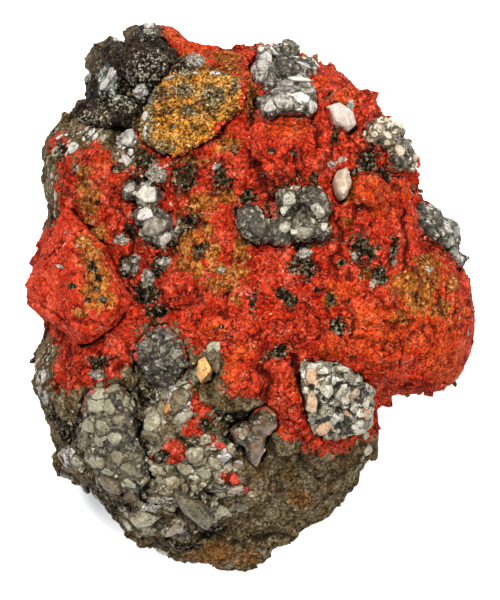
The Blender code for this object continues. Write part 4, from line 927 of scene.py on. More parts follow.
block = fine_copy("minium_block", "red_minium_block", BLOCK_VOXEL, 0)
points, ways = read(block)
wander = wandering(points, 2.0, 0.4)
swell = cloudy(points, 4.0, 3, 4.0)
crumbs = crumbly(points + wander, 1.6, 2, 7.0)
stand, _, _ = broken(points + wander, 4.2, 3.0)
cracks = cut_lines(points, BLOCK_CRACKS, wander)
ochre = spots(points, BLOCK_OCHRE)
slant = points[:, 0] * 0.75 + points[:, 1] * 0.66 + wander[:, 0] * 1.5
striae = np.sin(slant * 2 * math.pi / STRIAE)
rise = 0.12 * swell + 0.25 * stand + 0.2 * (crumbs - 0.3) * (0.2 + ochre) + STRIAE_RISE * striae
rise = rise - cracks + 0.14
write(
    block, points + ways * rise[:, None], inside=np.full(len(points), 9.0), ochre=ochre,
    white=spots(points, BLOCK_WHITE), dark=spots(points, BLOCK_DARK),
    # Where painted shade falls in the block's cracks and striae.
    hollow=cracks * 1.5 + 0.15 * cleft(crumbs, 0.1) + 0.3 * np.clip(-striae, 0, 1),
)
block.data.materials.append(stone_paint("smooth_red_chip", 0.34, 0.35))
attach(block, "root")
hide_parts("minium_block")

# The ochre block near the top: a crumbly yellow-brown plate of iron and lead oxides. It has dark pits, a
# grey rim with small white grains on it, and red along its right side, where it has grown into the crust.
OCHRE_VOXEL = 0.2
OCHRE_CRUMBS = 700
OCHRE_CRUMB_SIZES = (0.3, 0.9)
OCHRE_DARK = (
    (-8.6, 25.9, 1.1, 0.9, 0), (-4.6, 25.5, 1.2, 0.9, 0), (-8.0, 23.5, 0.9, 0.8, 0),
    (-4.8, 23.4, 1.0, 1.1, 0), (-10.6, 23.5, 0.6, 0.6, 0), (-11.2, 25.4, 1.0, 1.0, 0),
    (-9.8, 21.5, 0.6, 0.5, 0), (-6.5, 24.2, 0.6, 0.5, 0), (-2.2, 26.2, 0.6, 0.8, 0),
    (-1.8, 23.2, 0.5, 0.8, 0), (-6.8, 21.2, 0.8, 0.5, 0), (-3.0, 21.5, 0.6, 0.4, 0),
)
OCHRE_GREY = (
    (-12.9, 22.0, 1.0, 3.8, 0), (-12.2, 25.5, 1.2, 1.0, 20), (-8.2, 26.0, 1.5, 1.0, 0),
    (-4.6, 25.0, 1.8, 1.4, 0), (-7.5, 23.2, 1.0, 0.8, 0), (-3.9, 28.1, 1.2, 0.5, 0),
    (-8.0, 28.2, 1.8, 0.6, 0), (-10.8, 18.8, 1.8, 0.8, 0), (-1.5, 26.8, 0.8, 1.0, 0),
)
OCHRE_RIM = (
    (-12.5, 24.8, 0.5, 1.1, 10), (-13.0, 22.8, 0.5, 1.2, 0), (-13.0, 20.5, 0.5, 1.1, -5),
    (-12.4, 18.6, 0.5, 0.8, -20), (-11.6, 26.2, 0.8, 0.5, 35), (-10.0, 27.5, 0.9, 0.4, 15),
    (-4.5, 28.1, 1.1, 0.4, 0), (-6.5, 28.0, 0.8, 0.4, 0), (-8.2, 27.9, 0.6, 0.4, 0),
    (-11.2, 17.5, 0.6, 0.5, -20),
)
OCHRE_RED = (
    (-1.5, 19.8, 3.0, 2.2, 40), (0.0, 23.5, 1.2, 4.2, 0), (-5.2, 18.0, 3.5, 1.2, 20),
    (-0.2, 26.8, 1.0, 3.0, 0), (-8.5, 17.0, 3.0, 0.8, 0), (-3.0, 21.0, 1.5, 1.0, 0),
    (-1.2, 29.0, 1.2, 1.0, 0),
)

ochre_block = fine_copy("ochre_block", "ochre_plate", OCHRE_VOXEL, 1)
points, ways = read(ochre_block)
wander = wandering(points, 1.5, 0.4)
swell = cloudy(points, 2.6, 3, 4.0)
crumbs = crumbly(points + wander, 1.5, 2, 3.0)
grains = crumbly(points, 0.7, 2, 6.0)
dark = spots(points, OCHRE_DARK)
rise = 0.35 * swell + 0.6 * (crumbs - 0.3) + 0.3 * (grains - 0.3) - 0.2 * np.clip(dark, 0, 1) - 0.3
points = points + ways * rise[:, None]
notes = dict(
    pit=dark, grey=spots(points, OCHRE_GREY), red=spots(points + wander, OCHRE_RED),
    # Where painted shade falls in the clefts between crumbs and grains.
    hollow=0.7 * cleft(crumbs, 0.12) + 0.5 * cleft(grains, 0.1),
)
write(ochre_block, points, **notes)
bed = np.where(notes["hollow"] < 0.4, 0.6, 0)
chalky = np.full(len(points), 0.6)
rim_grains = pebbles("ochre_rim", points, ways, OCHRE_RIM, 0.3, 21, white=chalky)
rim_grains.data.materials.append(PEBBLE)
ochre_crumbs = chips(
    "ochre_crumbs", points, ways, bed, OCHRE_CRUMBS, OCHRE_CRUMB_SIZES, (0.8, 0.7), 0.35, 0.4, 13, **notes
)
paint = Paint("ochre")
ochre = paint.ramp(
    paint.blend(paint.noise(0.5, 6, 0.75), paint.noise(2.0, 4, 0.6, 0.4, 6.0), 0.4),
    (0.38, (66, 46, 14)), (0.46, (150, 98, 36)), (0.55, (202, 142, 68)), (0.66, (226, 190, 124)),
)
browner = paint.step(paint.noise(1.6, 4, 0.6, 0.3, 9.0), 0.5, 0.62, 0, 0.6)
ochre = paint.mix(browner, ochre, tone(190, 112, 34))
grey = paint.noise(0.45, 5, 0.7, 0.0, 5.0)
grey = paint.ramp(grey, (0.38, (58, 52, 28)), (0.5, (118, 108, 72)), (0.64, (190, 180, 146)))
ochre = paint.over(ochre, grey, "grey", 0.5, 0.9, 0.15, 3.0, strength=0.8)
ochre = paint.over(ochre, dark_grains(paint, 8.0), "pit", 0.5, 1.1, 0.12, 7.0, strength=0.8)
ochre = paint.over(ochre, minium_colour(paint), "red", 0.6, 0.9, 0.1, 31.0)
ochre = paint.flecks(ochre, 0.5, 0.68, (226, 208, 160), 0.7, 25.0)
ochre = paint.flecks(ochre, 0.5, 0.62, (48, 34, 14), 0.85, 35.0)
ochre = paint.gritty(ochre, 0.24, 0.32, 1.8, 2.0)
# Painted shade in the clefts between the crumbs.
ochre = paint.darker(ochre, paint.kept("hollow"), 0.1, 0.8, (0.25, 0.17, 0.1), 0.8)
normal = paint.bump(paint.blend(paint.noise(0.25, 4, 0.7), paint.grains(0.45), 0.4), 0.3)
OCHRE = paint.finish(ochre, 0.9, normal, Specular_IOR_Level=0.06)
for piece in (ochre_block, ochre_crumbs):
    piece.data.materials.append(OCHRE)
for piece in (ochre_block, ochre_crumbs, rim_grains):
    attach(piece, "root")
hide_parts("ochre_block")

# The white block speckled with black at the lower right: a chip of cerussite, broken into small flat faces,
# with galena left in its joints.
SPECKLED_VOXEL = 0.16
SPECKLED_DARK = (
    (11.9, -10.8, 1.1, 0.6, -30), (13.4, -12.2, 0.8, 0.6, -40), (10.5, -11.5, 0.4, 1.5, -20),
    (8.2, -13.2, 0.8, 1.0, -30), (11.0, -13.8, 1.0, 0.6, 0), (9.0, -15.2, 1.1, 0.4, 0),
    (11.8, -15.8, 1.1, 1.0, 0), (12.8, -9.2, 0.6, 0.4, -30), (12.8, -13.8, 0.5, 1.0, 30),
    (9.2, -9.5, 1.0, 0.4, 20), (14.5, -11.8, 0.4, 0.8, 0), (12.0, -16.8, 1.2, 0.5, 0),
    (7.5, -11.2, 0.4, 0.6, 0), (10.0, -16.5, 0.5, 0.8, 0), (14.0, -15.2, 0.6, 0.5, 0),
    (9.8, -12.5, 0.5, 0.4, 0), (11.2, -9.2, 0.5, 0.4, 0), (13.8, -10.5, 0.5, 0.4, 0),
    (8.5, -17.2, 0.8, 0.2, 0), (7.2, -14.2, 0.2, 0.6, 0),
)
SPECKLED_PEACH = (
    (7.8, -10.0, 1.0, 1.0, 0), (9.4, -16.8, 1.8, 0.6, 0), (13.0, -12.5, 0.6, 0.5, 0),
    (7.5, -12.8, 0.5, 1.0, 0), (14.2, -14.2, 0.5, 0.8, 0), (11.8, -14.5, 0.5, 0.6, 0),
)
SPECKLED_FACES = (
    (7.6, -9.6, 0.8, 1.1, 0), (9.0, -9.0, 0.8, 0.6, 0), (10.6, -8.8, 0.9, 0.5, 0),
    (12.2, -9.8, 1.1, 0.6, -30), (9.5, -11.4, 1.0, 1.2, 0), (7.6, -13.0, 0.8, 1.5, 0),
    (9.2, -14.0, 0.9, 0.8, 0), (10.8, -13.2, 0.8, 0.6, 0), (11.6, -11.2, 0.8, 0.6, 20),
    (13.1, -11.9, 1.0, 0.8, 0), (13.0, -13.6, 0.8, 0.9, 30), (14.5, -11.5, 0.5, 0.6, 0),
    (14.5, -13.1, 0.5, 0.8, 0), (13.9, -14.4, 0.8, 0.5, 0), (9.1, -16.2, 1.4, 0.9, 10),
    (7.4, -15.2, 0.5, 0.8, 0), (13.4, -15.8, 1.2, 0.6, 10), (11.4, -14.8, 0.5, 0.8, 0),
    (11.0, -16.5, 0.8, 0.5, 0), (8.5, -7.8, 0.6, 0.4, 0), (14.0, -10.1, 0.5, 0.5, 0),
    (10.4, -10.2, 0.4, 0.6, 0), (10.2, -15.2, 0.5, 0.5, 0), (12.0, -12.8, 0.4, 0.5, 0),
)
SPECKLED_CRACKS = (
    ([(7.0, -11.0), (9.0, -11.8), (11.0, -10.8), (15.0, -11.5)], 0.16, 0.5),
    ([(10.5, -8.5), (10.2, -11.8), (11.5, -14.8), (11.0, -17.5)], 0.16, 0.5),
    ([(7.2, -14.5), (10.0, -13.2), (12.8, -14.0), (15.0, -13.0)], 0.16, 0.5),
    ([(8.5, -8.5), (9.0, -11.8), (8.0, -15.8)], 0.14, 0.35),
)

speckled = fine_copy("speckled_block", "speckled_block_white", SPECKLED_VOXEL, 0)
points, ways = read(speckled)
wander = wandering(points, 1.4, 0.5)
crumbs = crumbly(points + wander, 1.6, 2, 4.0)
stand, join, own = broken(points + wander, 1.1, 3.0)
dark = spots(points + wander, SPECKLED_DARK) + 0.4 * (own - 0.5)
cracks = cut_lines(points, SPECKLED_CRACKS, wander)
rise = 0.2 * (crumbs - 0.3) + 0.4 * stand - cracks - 0.25 * np.clip(dark * 1.5 - 0.3, 0, 1) + 0.1
peach = spots(points, SPECKLED_PEACH)
# Where painted shade falls in the cracks and the joins between chips.
hollow = cracks * 1.4 + 0.4 * cleft(join, 0.06)
points = points + ways * rise[:, None]
flakes = pebbles(
    "speckled_faces", points, ways, SPECKLED_FACES, 0.3, 18, dark=dark * 0.4, peach=peach, own=own
)
write(speckled, points, dark=dark, peach=peach, own=own, hollow=hollow)
paint = Paint("speckled_white")
white = paint.ramp(
    paint.blend(paint.noise(1.0, 6, 0.7, 0.4), paint.kept("own"), 0.25),
    (0.34, (84, 76, 56)), (0.44, (140, 132, 112)), (0.55, (186, 180, 160)), (0.7, (216, 210, 194)),
)
white = paint.over(white, tone(196, 146, 104), "peach", 0.9, 0.6, 0.25, 3.0, strength=0.7)
white = paint.over(white, dark_grains(paint, 8.0), "dark", 0.7, 0.45, 0.06, 7.0)
white = paint.flecks(white, 0.5, 0.65, (40, 30, 18), 0.85, 35.0)
white = paint.gritty(white, 0.24, 0.75, 1.25, 2.0)
# Painted shade on the flakes' feet and sides.
white = paint.darker(white, paint.kept("side_shade"), 0.15, 1.0, (0.16, 0.13, 0.1), 0.9)
# Painted shade in the cracks and joins.
white = paint.darker(white, paint.kept("hollow"), 0.15, 0.6, (0.16, 0.12, 0.08), 0.85)
normal = paint.bump(paint.blend(paint.noise(0.3, 4, 0.7), paint.grains(0.5), 0.4), 0.2)
SPECKLED = paint.finish(white, 0.6, normal, Specular_IOR_Level=0.25)
for piece in (speckled, flakes):
    piece.data.materials.append(SPECKLED)
    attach(piece, "root")
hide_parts("speckled_block")

# The dark druse at the top left: galena that has gone to a granular, near-black crust, with a few pale
# crystals on it and patches of small bright grains.
DRUSE_VOXEL = 0.2
GALENA_CUBES = 900
GALENA_CUBE_SIZES = (0.3, 1.0)
DRUSE_WHITE = (
    (-18.0, 27.4, 1.1, 1.9, 25), (-13.8, 25.8, 0.9, 0.9, 0), (-16.8, 32.5, 0.5, 0.6, 0),
    (-12.8, 34.6, 1.0, 0.4, 10), (-16.5, 25.0, 0.5, 0.6, -30), (-21.2, 21.8, 1.0, 0.5, 0),
    (-20.5, 27.8, 0.5, 0.6, 0), (-12.5, 25.0, 0.5, 0.5, 0),
)
DRUSE_CRYSTALS = (
    (-17.4, 28.2, 0.8, 1.1, -20), (-18.2, 26.8, 1.0, 0.9, 30), (-13.8, 25.8, 0.8, 0.9, 0),
    (-16.6, 25.0, 0.5, 0.6, -30), (-16.8, 32.5, 0.5, 0.6, 0), (-21.2, 21.8, 0.8, 0.5, 0),
    (-18.8, 25.8, 0.5, 0.6, 0),
)
DRUSE_SPARKLE = (
    (-12.9, 28.8, 2.5, 1.8, 20), (-16.2, 24.2, 3.0, 1.0, 0), (-12.5, 33.5, 1.2, 1.0, 0),
    (-15.2, 26.0, 1.2, 1.0, 0), (-19.2, 22.8, 2.5, 0.8, 0),
)
DRUSE_BROWN = (
    (-19.1, 30.2, 1.5, 1.2, 0), (-15.2, 32.2, 2.0, 1.2, 0), (-18.1, 23.5, 3.0, 1.1, 0),
    (-20.0, 29.0, 1.0, 1.2, 0), (-15.8, 29.5, 1.0, 1.2, 0), (-13.8, 31.2, 1.8, 0.8, 0),
)
# How high above the table the dark ore of the druse's flank ends.
DRUSE_FOOT = 20

druse = fine_copy("galena_druse", "dark_galena_druse", DRUSE_VOXEL, 1)
points, ways = read(druse)
wander = wandering(points, 1.6, 0.5)
lumps = crumbly(points + wander, 2.6, 2, 4.0)
crumbs = crumbly(points + wander, 1.1, 2, 3.0)
grains, _, _ = broken(points, 0.6, 6.0)
stand, _, own = broken(points + wander, 1.8, 2.0)
seen = np.clip(ways[:, 2] * 3 + 0.2, 0, 1)
pale = spots(points, DRUSE_WHITE) * seen + 0.3 * (own - 0.5)
rise = 0.8 * (lumps - 0.3) + 0.35 * (crumbs - 0.3) + 0.1 * grains + 0.3 * stand
points = points + ways * rise[:, None]
low_down = np.clip((DRUSE_FOOT - points[:, 2]) / 5, 0, 1.5)
notes = dict(
    white=pale, sparkle=spots(points, DRUSE_SPARKLE) * seen, brown=spots(points, DRUSE_BROWN),
    # Where painted shade falls in the clefts between lumps and crumbs.
    hollow=0.9 * cleft(lumps, 0.13) + 0.5 * cleft(crumbs, 0.1),
    earth=np.maximum(0.8 * close_to(points, matrix, 1.0), low_down),
)
write(druse, points, **notes)
bed = np.where((notes["hollow"] < 0.5) & (ways[:, 2] > 0.45), 0.6 - 0.5 * np.clip(pale, 0, 1), 0)
chalky = np.ones(len(points))
druse_crystals = pebbles("druse_crystals", points, ways, DRUSE_CRYSTALS, 0.22, 19, white=chalky)
druse_crystals.data.materials.append(PEBBLE)
cubes = chips(
    "galena_cubes", points, ways, bed, GALENA_CUBES, GALENA_CUBE_SIZES, (0.9, 0.9), 0.3, 0.6, 11, **notes
)
paint = Paint("dark_galena")
dark = paint.ramp(
    paint.blend(paint.noise(0.5, 6, 0.75), paint.noise(1.8, 4, 0.6, 0.3, 7.0), 0.4),
    (0.36, (14, 9, 3)), (0.48, (32, 24, 12)), (0.58, (58, 48, 30)), (0.7, (112, 98, 72)),
)
brown = paint.noise(0.6, 5, 0.7, 0.2, 9.0)
brown = paint.ramp(brown, (0.36, (28, 20, 12)), (0.52, (60, 46, 34)), (0.68, (116, 96, 80)))
dark = paint.over(dark, brown, "brown", 1.2, 0.6, 0.2, 5.0, strength=0.7)
bright = paint.step(paint.grains(0.34, "Color", 12.0), 0.6, 0.68)
bright = paint.math("MULTIPLY", bright, paint.patch(paint.kept("sparkle"), 1.0, 0.7, 0.3, 11.0))
dark = paint.mix(paint.math("MULTIPLY", bright, 0.7), dark, tone(190, 180, 156))
pale = paint.noise(0.8, 5, 0.65, 0.2, 3.0)
pale = paint.ramp(pale, (0.36, (92, 90, 82)), (0.5, (142, 142, 134)), (0.66, (184, 184, 178)))
dark = paint.over(dark, pale, "white", 0.8, 0.45, 0.1, 7.0)
dark = paint.flecks(dark, 0.5, 0.675, (176, 168, 140), 0.7, 25.0)
dark = paint.gritty(dark, 0.24, 0.5, 1.6, 2.0)
dark = paint.over(dark, ground_colour(paint), "earth", 1.0, 0.6, 0.08, 47.0)
# Painted shade in the clefts between the lumps.
dark = paint.darker(dark, paint.kept("hollow"), 0.1, 0.8, (0.2, 0.16, 0.12), 0.85)
normal = paint.bump(paint.blend(paint.noise(0.25, 4, 0.7), paint.grains(0.4), 0.5), 0.3)
DARK_GALENA = paint.finish(dark, 0.55, normal, Specular_IOR_Level=0.1)
for piece in (druse, cubes):
    piece.data.materials.append(DARK_GALENA)
for piece in (druse, cubes, druse_crystals):
    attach(piece, "root")
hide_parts("galena_druse")

# The pale crystal groups: cerussite and quartz that grew as stubby blades and grains on the ore. Each has
# pale faces in some places, and granular dark ore in the joints between them.
GROUP_VOXEL = 0.18
# A group with fewer crystals than this is one smooth crystal or a few, without broken faces.
FEW_CRYSTALS = 20
# Each group's solid, name, sizes of its crystals, their width and height for their length, and their count,
# how crumbly and how clear it is, its dark, middle and light tones, and its pale faces and dark ore.
GROUPS = (
    (
        "cerussite_cluster", "white_cerussite_blades", (1.0, 3.0), (0.5, 0.3), 120, 0.3, 0.0,
        (66, 58, 42), (166, 158, 144), (216, 212, 202),
        (
            (1.5, 29.5, 0.9, 1.8, -10), (1.1, 27.8, 0.9, 1.2, 0), (4.5, 26.2, 2.2, 1.1, 10),
            (6.2, 25.0, 1.5, 1.2, 0), (2.5, 24.0, 1.1, 1.0, 0), (7.8, 23.8, 0.8, 1.0, 0),
            (6.0, 27.2, 1.5, 0.6, 20), (1.5, 25.8, 0.8, 0.8, 0), (4.2, 24.2, 1.5, 1.0, 0),
            (3.2, 31.0, 0.8, 0.4, 0), (6.0, 30.1, 1.2, 0.4, -35), (7.0, 29.1, 1.5, 0.4, -30),
            (8.5, 29.8, 1.0, 0.4, -30), (9.0, 28.2, 1.0, 0.5, -20), (1.5, 31.0, 0.6, 0.8, 0),
            (7.0, 25.8, 1.1, 1.0, 0),
        ),
        (
            (4.2, 30.5, 1.8, 1.2, 0), (3.2, 29.0, 0.8, 1.0, 0), (5.8, 31.5, 1.0, 0.8, 0),
            (5.2, 28.5, 1.2, 0.5, 0), (2.9, 26.2, 0.4, 0.8, -20), (5.0, 23.8, 0.5, 0.4, 0),
        ),
    ),
    (
        "cerussite_knob", "beige_cerussite_knob", (0.8, 2.0), (0.8, 0.45), 70, 0.35, 0.0,
        (70, 58, 36), (168, 150, 120), (222, 208, 182),
        (
            (16.0, 22.0, 0.8, 0.6, 0), (17.2, 20.5, 1.0, 0.8, 0), (18.9, 18.5, 0.8, 1.1, 0),
            (15.2, 20.5, 0.6, 0.6, 0), (18.0, 22.0, 0.8, 0.5, 0), (17.5, 19.2, 0.6, 0.5, 0),
            (20.5, 17.5, 0.5, 0.6, 0),
        ),
        (
            (16.8, 21.8, 0.4, 0.4, 0), (18.2, 21.4, 0.4, 0.2, 0), (16.4, 19.5, 0.5, 0.4, 0),
            (19.4, 19.8, 0.5, 1.0, -20), (18.0, 17.0, 1.0, 0.6, 0), (20.0, 18.5, 0.4, 0.8, 0),
            (15.0, 21.5, 0.4, 0.4, 0),
        ),
    ),
    (
        "cerussite_spur", "white_cerussite_spur", (0.8, 2.0), (0.8, 0.45), 70, 0.35, 0.0,
        (46, 39, 25), (116, 110, 95), (188, 183, 170),
        (
            (22.4, 11.1, 0.6, 0.5, 0), (24.8, 8.8, 1.0, 1.1, -30), (25.0, 7.0, 0.9, 0.8, 0),
            (23.2, 10.5, 0.4, 0.4, 0), (22.2, 9.5, 0.4, 0.4, 0), (26.0, 5.2, 0.5, 0.6, 0),
            (23.8, 8.5, 0.5, 0.6, 0),
        ),
        (
            (23.0, 9.5, 0.9, 1.1, 0), (22.0, 8.5, 0.6, 0.8, 0), (24.5, 10.2, 0.6, 0.4, 0),
            (24.0, 6.8, 0.5, 0.6, 0), (25.6, 6.8, 0.4, 0.6, 0), (21.8, 10.5, 0.5, 0.5, 0),
        ),
    ),
    (
        "pocket_cluster", "pocket_crystals", (0.8, 2.2), (0.6, 0.45), 60, 0.4, 0.05,
        (48, 40, 26), (126, 116, 94), (194, 187, 166),
        (
            (1.0, 9.1, 1.5, 1.5, 0), (6.5, 8.0, 1.4, 0.8, 0), (5.8, 9.2, 0.5, 1.0, 0),
            (7.8, 9.0, 0.5, 0.8, 0), (8.5, 10.8, 1.1, 0.8, -40), (4.4, 8.8, 0.8, 0.9, 0),
            (9.2, 8.8, 0.5, 0.6, 0), (4.8, 12.2, 0.9, 1.1, 0), (1.5, 11.2, 0.8, 0.5, 0),
            (9.0, 12.8, 0.5, 0.6, 0),
        ),
        (
            (6.5, 9.0, 0.6, 0.6, 0), (2.8, 10.8, 1.0, 1.0, 0), (7.0, 11.5, 1.0, 1.0, 0),
            (3.2, 8.2, 0.6, 0.8, 0), (1.5, 7.2, 1.8, 0.5, 0), (6.2, 12.8, 0.6, 0.8, 0),
            (0.0, 11.0, 0.6, 0.8, 0), (9.5, 7.5, 0.8, 0.5, 0), (5.2, 10.5, 0.5, 0.8, 0),
            (7.8, 7.2, 1.0, 0.4, 0),
        ),
    ),
    (
        "cerussite_crust", "waxy_cerussite_mass", (0.7, 2.0), (0.8, 0.3), 120, 0.3, 0.0,
        (76, 66, 44), (130, 122, 96), (164, 158, 132),
        (
            (-18.8, -11.8, 1.1, 1.0, 30), (-17.0, -11.2, 1.0, 0.8, 0), (-19.2, -13.5, 1.1, 0.9, 0),
            (-17.5, -13.5, 0.8, 1.1, 20), (-20.2, -16.0, 1.1, 1.0, 0), (-18.2, -16.0, 1.1, 0.8, -20),
            (-16.2, -15.2, 1.1, 0.8, 20), (-18.8, -17.8, 1.0, 0.8, 0), (-16.8, -17.5, 1.0, 1.0, 0),
            (-16.5, -19.8, 1.1, 0.9, -40), (-15.0, -21.2, 1.2, 1.0, -40), (-19.8, -21.0, 1.0, 0.9, 0),
            (-17.8, -21.8, 0.9, 0.8, 0), (-15.0, -23.2, 1.0, 0.6, 0), (-15.5, -13.0, 0.6, 0.8, 0),
            (-21.2, -17.8, 0.6, 1.0, 0),
        ),
        (
            (-16.4, -13.0, 0.6, 1.1, 0), (-18.8, -19.8, 1.1, 0.5, -10), (-14.8, -17.8, 0.8, 1.0, 0),
            (-17.8, -15.2, 0.8, 0.4, -30), (-20.8, -18.2, 1.0, 0.5, 0), (-15.5, -15.8, 0.6, 0.5, 0),
            (-18.0, -21.5, 0.6, 0.5, 0), (-20.0, -14.5, 0.5, 0.4, 0), (-14.2, -23.2, 0.8, 0.6, 0),
            (-17.2, -17.2, 0.5, 0.4, 0),
        ),
    ),
    (
        "quartz_cluster", "grey_quartz_crystals", (0.6, 1.4), (0.6, 0.5), 10, 0.12, 0.25,
        (96, 66, 36), (160, 130, 96), (196, 178, 150),
        (
            (1.5, -15.8, 1.1, 1.1, 0), (2.2, -14.2, 0.8, 0.8, 0), (0.8, -19.0, 0.8, 1.2, 10),
            (-0.8, -17.0, 0.6, 0.6, 0), (2.5, -16.5, 0.5, 0.8, 0),
        ),
        (
            (-0.5, -15.0, 1.1, 0.9, 0), (-1.2, -16.2, 0.5, 0.6, 0), (0.2, -17.5, 0.8, 0.4, 0),
            (2.5, -17.8, 0.6, 0.4, 0), (-0.2, -19.2, 0.4, 0.8, 0), (0.5, -14.0, 0.9, 0.5, 0),
        ),
    ),
    (
        "quartz_pebble", "milky_quartz_pebble", (0.5, 1.0), (0.6, 0.3), 2, 0.05, 0.1,
        (196, 172, 156), (228, 212, 198), (240, 230, 222),
        (),
        (),
    ),
    (
        "quartz_blade", "milky_quartz_blade", (0.5, 1.0), (0.5, 0.3), 2, 0.05, 0.1,
        (180, 152, 124), (222, 204, 182), (238, 226, 210),
        (),
        (),
    ),
    (
        "grey_lump", "grey_stone_lump", (0.7, 2.0), (0.7, 0.45), 90, 0.4, 0.0,
        (42, 33, 18), (94, 84, 66), (164, 158, 144),
        (
            (-9.8, -4.5, 1.1, 0.9, 0), (-12.5, -6.0, 0.8, 1.0, 0), (-11.8, -8.8, 0.9, 0.8, 0),
            (-9.2, -6.8, 0.8, 1.0, 0), (-13.8, -7.5, 0.5, 0.9, 0), (-10.8, -6.5, 0.5, 0.6, 0),
        ),
        (
            (-11.2, -5.0, 0.6, 0.6, 0), (-10.2, -8.8, 1.0, 0.9, 0), (-13.0, -9.8, 0.8, 0.6, 0),
            (-11.2, -7.2, 0.6, 0.6, 0), (-13.8, -5.5, 0.6, 0.6, 0), (-8.8, -8.5, 0.5, 0.8, 0),
        ),
    ),
    (
        "cerussite_vein", "white_cerussite_grains", (0.7, 1.8), (0.8, 0.5), 50, 0.25, 0.0,
        (56, 46, 32), (130, 118, 102), (202, 194, 180),
        (
            (-12.8, 12.8, 1.4, 1.1, 0), (-13.1, 10.5, 1.1, 0.9, 0), (-11.9, 8.8, 1.6, 1.4, 0),
            (-10.5, 7.2, 1.0, 1.0, 0), (-14.9, 13.6, 0.8, 0.9, 0),
        ),
        (
            (-14.0, 12.0, 0.5, 0.6, 0), (-11.8, 11.5, 0.6, 0.5, 0), (-13.0, 9.5, 0.6, 0.4, 0),
            (-10.8, 8.5, 0.4, 0.5, 0), (-14.2, 14.2, 0.5, 0.5, 0), (-12.2, 7.2, 0.5, 0.5, 0),
        ),
    ),
)
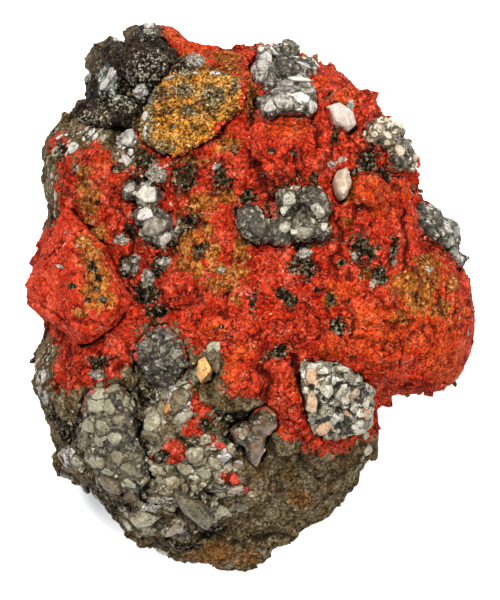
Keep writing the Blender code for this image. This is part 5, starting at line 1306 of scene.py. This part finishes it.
for step, row in enumerate(GROUPS):
    node, name, sizes, shape, count, crumb_rise, clear, shade, middle, light, faces, ore = row
    many = count > FEW_CRYSTALS
    group = fine_copy(node, name, GROUP_VOXEL, 0 if many else 4)
    points, ways = read(group)
    wander = wandering(points, 1.5, 0.4)
    crumbs = crumbly(points + wander, 1.3, 2, 4.0)
    stand, join, own = broken(points + wander, sizes[1], 3.0)
    rise = 0.3 * sizes[1] * stand * many + crumb_rise * (crumbs - 0.3) + 0.06
    points = points + ways * rise[:, None]
    notes = dict(
        faces=(spots(points + wander, faces) if faces else 2.0) + 0.3 * (own - 0.5),
        ore=spots(points + wander, ore) + 0.3 * (own - 0.5),
        own=own,
        dust=close_to(points, crust, 1.0),
        earth=close_to(points, matrix, 0.8),
        # Where painted shade falls in the clefts and joins between crystals.
        hollow=crumb_rise * 1.5 * cleft(crumbs, 0.1) + 0.3 * cleft(join, 0.06),
    )
    write(group, points, **notes)
    bed = np.where(notes["faces"] > notes["ore"], 0.25 + np.clip(notes["faces"], 0, 1), 0.12)
    bed = bed * (1 - 0.9 * np.clip(notes["dust"] + notes["earth"], 0, 1))
    crystals = chips(name + "_chips", points, ways, bed, count, sizes, shape, 0.2, 0.25, 20 + step, **notes)
    pieces = [group, crystals]
    if many:
        clean = dict(own=own, faces=np.full(len(points), 2.0))
        pieces.append(pebbles(name + "_faces", points, ways, faces, 0.3, 40 + step, **clean))
    paint = Paint(name)
    value = paint.blend(paint.noise(0.8, 6, 0.72, 0.3), paint.kept("tone"), 0.3)
    pale = paint.ramp(value, (0.32, shade), (0.43, middle), (0.6, light))
    rough_side = paint.over(dark_grains(paint, 24.0), pale, "own", 0.6, 0.4, 0.2, 37.0)
    rough_side = paint.gritty(rough_side, 0.24, 0.5, 1.5, 2.0)
    colour = paint.over(rough_side, pale, "faces", 0.5, 0.35, 0.12, 7.0)
    colour = paint.over(colour, dark_grains(paint, 14.0), "ore", 0.5, 0.5, 0.1, 17.0)
    colour = paint.flecks(colour, 0.5, 0.66, shade, min(0.85, crumb_rise * 2), 27.0)
    # Painted shade on the feet and sides of the group's pale faces.
    colour = paint.darker(colour, paint.kept("side_shade"), 0.15, 1.0, (0.22, 0.18, 0.14), 0.85)
    colour = paint.over(colour, dark_grains(paint, 44.0), "earth", 0.6, 0.5, 0.12, 47.0)
    colour = paint.over(colour, minium_colour(paint), "dust", 0.6, 0.6, 0.1, 57.0)
    colour = paint.gritty(colour, 0.24, 1 - 0.6 * crumb_rise, 1 + 0.6 * crumb_rise, 2.0)
    # Painted shade in the clefts and joins between crystals.
    colour = paint.darker(colour, paint.kept("hollow"), 0.12, 0.7, (0.22, 0.17, 0.11), 0.85)
    grit = paint.blend(paint.noise(0.3, 4, 0.65), paint.grains(0.5), 0.3)
    normal = paint.bump(grit, 0.04 + 0.4 * crumb_rise)
    crystal = paint.finish(
        colour, 0.65 - clear, normal, Transmission_Weight=clear, IOR=1.6, Specular_IOR_Level=0.25
    )
    for piece in pieces:
        piece.data.materials.append(crystal)
        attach(piece, "root")
    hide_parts(node)

# The floor: a plain white table under the stone, bright enough to stay white. It lies a little below the
# stone's flat break, so that the two never share a plane.
FLOOR_SIZE = 3.0
FLOOR_DROP = 0.0002
FLOOR_WHITE = (0.97, 0.975, 0.98, 1.0)
bpy.ops.mesh.primitive_plane_add(size=FLOOR_SIZE, location=(0, 0, -FLOOR_DROP))
floor = bpy.context.object
floor.name = "floor"
paint = Paint("white_floor")
floor.data.materials.append(paint.finish(FLOOR_WHITE, 0.9))

# The light: a large soft lamp above the top left, a weaker one from the right, and a bright white room all
# round that keeps the shadows open.
ROOM_WHITE = (0.96, 0.98, 1.0, 1.0)
ROOM_STRENGTH = 1.0


def lamp(name, place, size, power):
    light = bpy.data.lights.new(name, "AREA")
    light.size = size
    light.energy = power
    made = bpy.data.objects.new(name, light)
    made.location = place
    made.rotation_euler = (-Vector(place)).to_track_quat("-Z", "Y").to_euler()
    bpy.context.scene.collection.objects.link(made)
    return made


lamp("key_lamp", (-0.1, 0.24, 0.5), 0.25, 6.0)
lamp("side_lamp", (0.4, -0.1, 0.5), 0.35, 3.8)
world = bpy.data.worlds.new("bright_room")
world.use_nodes = True
world.node_tree.nodes["Background"].inputs["Color"].default_value = ROOM_WHITE
world.node_tree.nodes["Background"].inputs["Strength"].default_value = ROOM_STRENGTH
bpy.context.scene.world = world

# The camera looks straight down on the stone through a long lens. At the height of the stone's face above the
# table, the picture's longer side takes in a field of this length.
LENS = 600
SENSOR = 36
FIELD = 0.075
FACE_HEIGHT = 0.026
AIM = (0, -0.00025)
camera = bpy.data.objects.new("camera", bpy.data.cameras.new("camera"))
camera.data.lens = LENS
camera.data.clip_start = 0.1
camera.data.clip_end = 10
camera.location = (*AIM, FACE_HEIGHT + FIELD * LENS / SENSOR)
bpy.context.scene.collection.objects.link(camera)
bpy.context.scene.camera = camera
bpy.context.scene.view_settings.view_transform = "Standard"
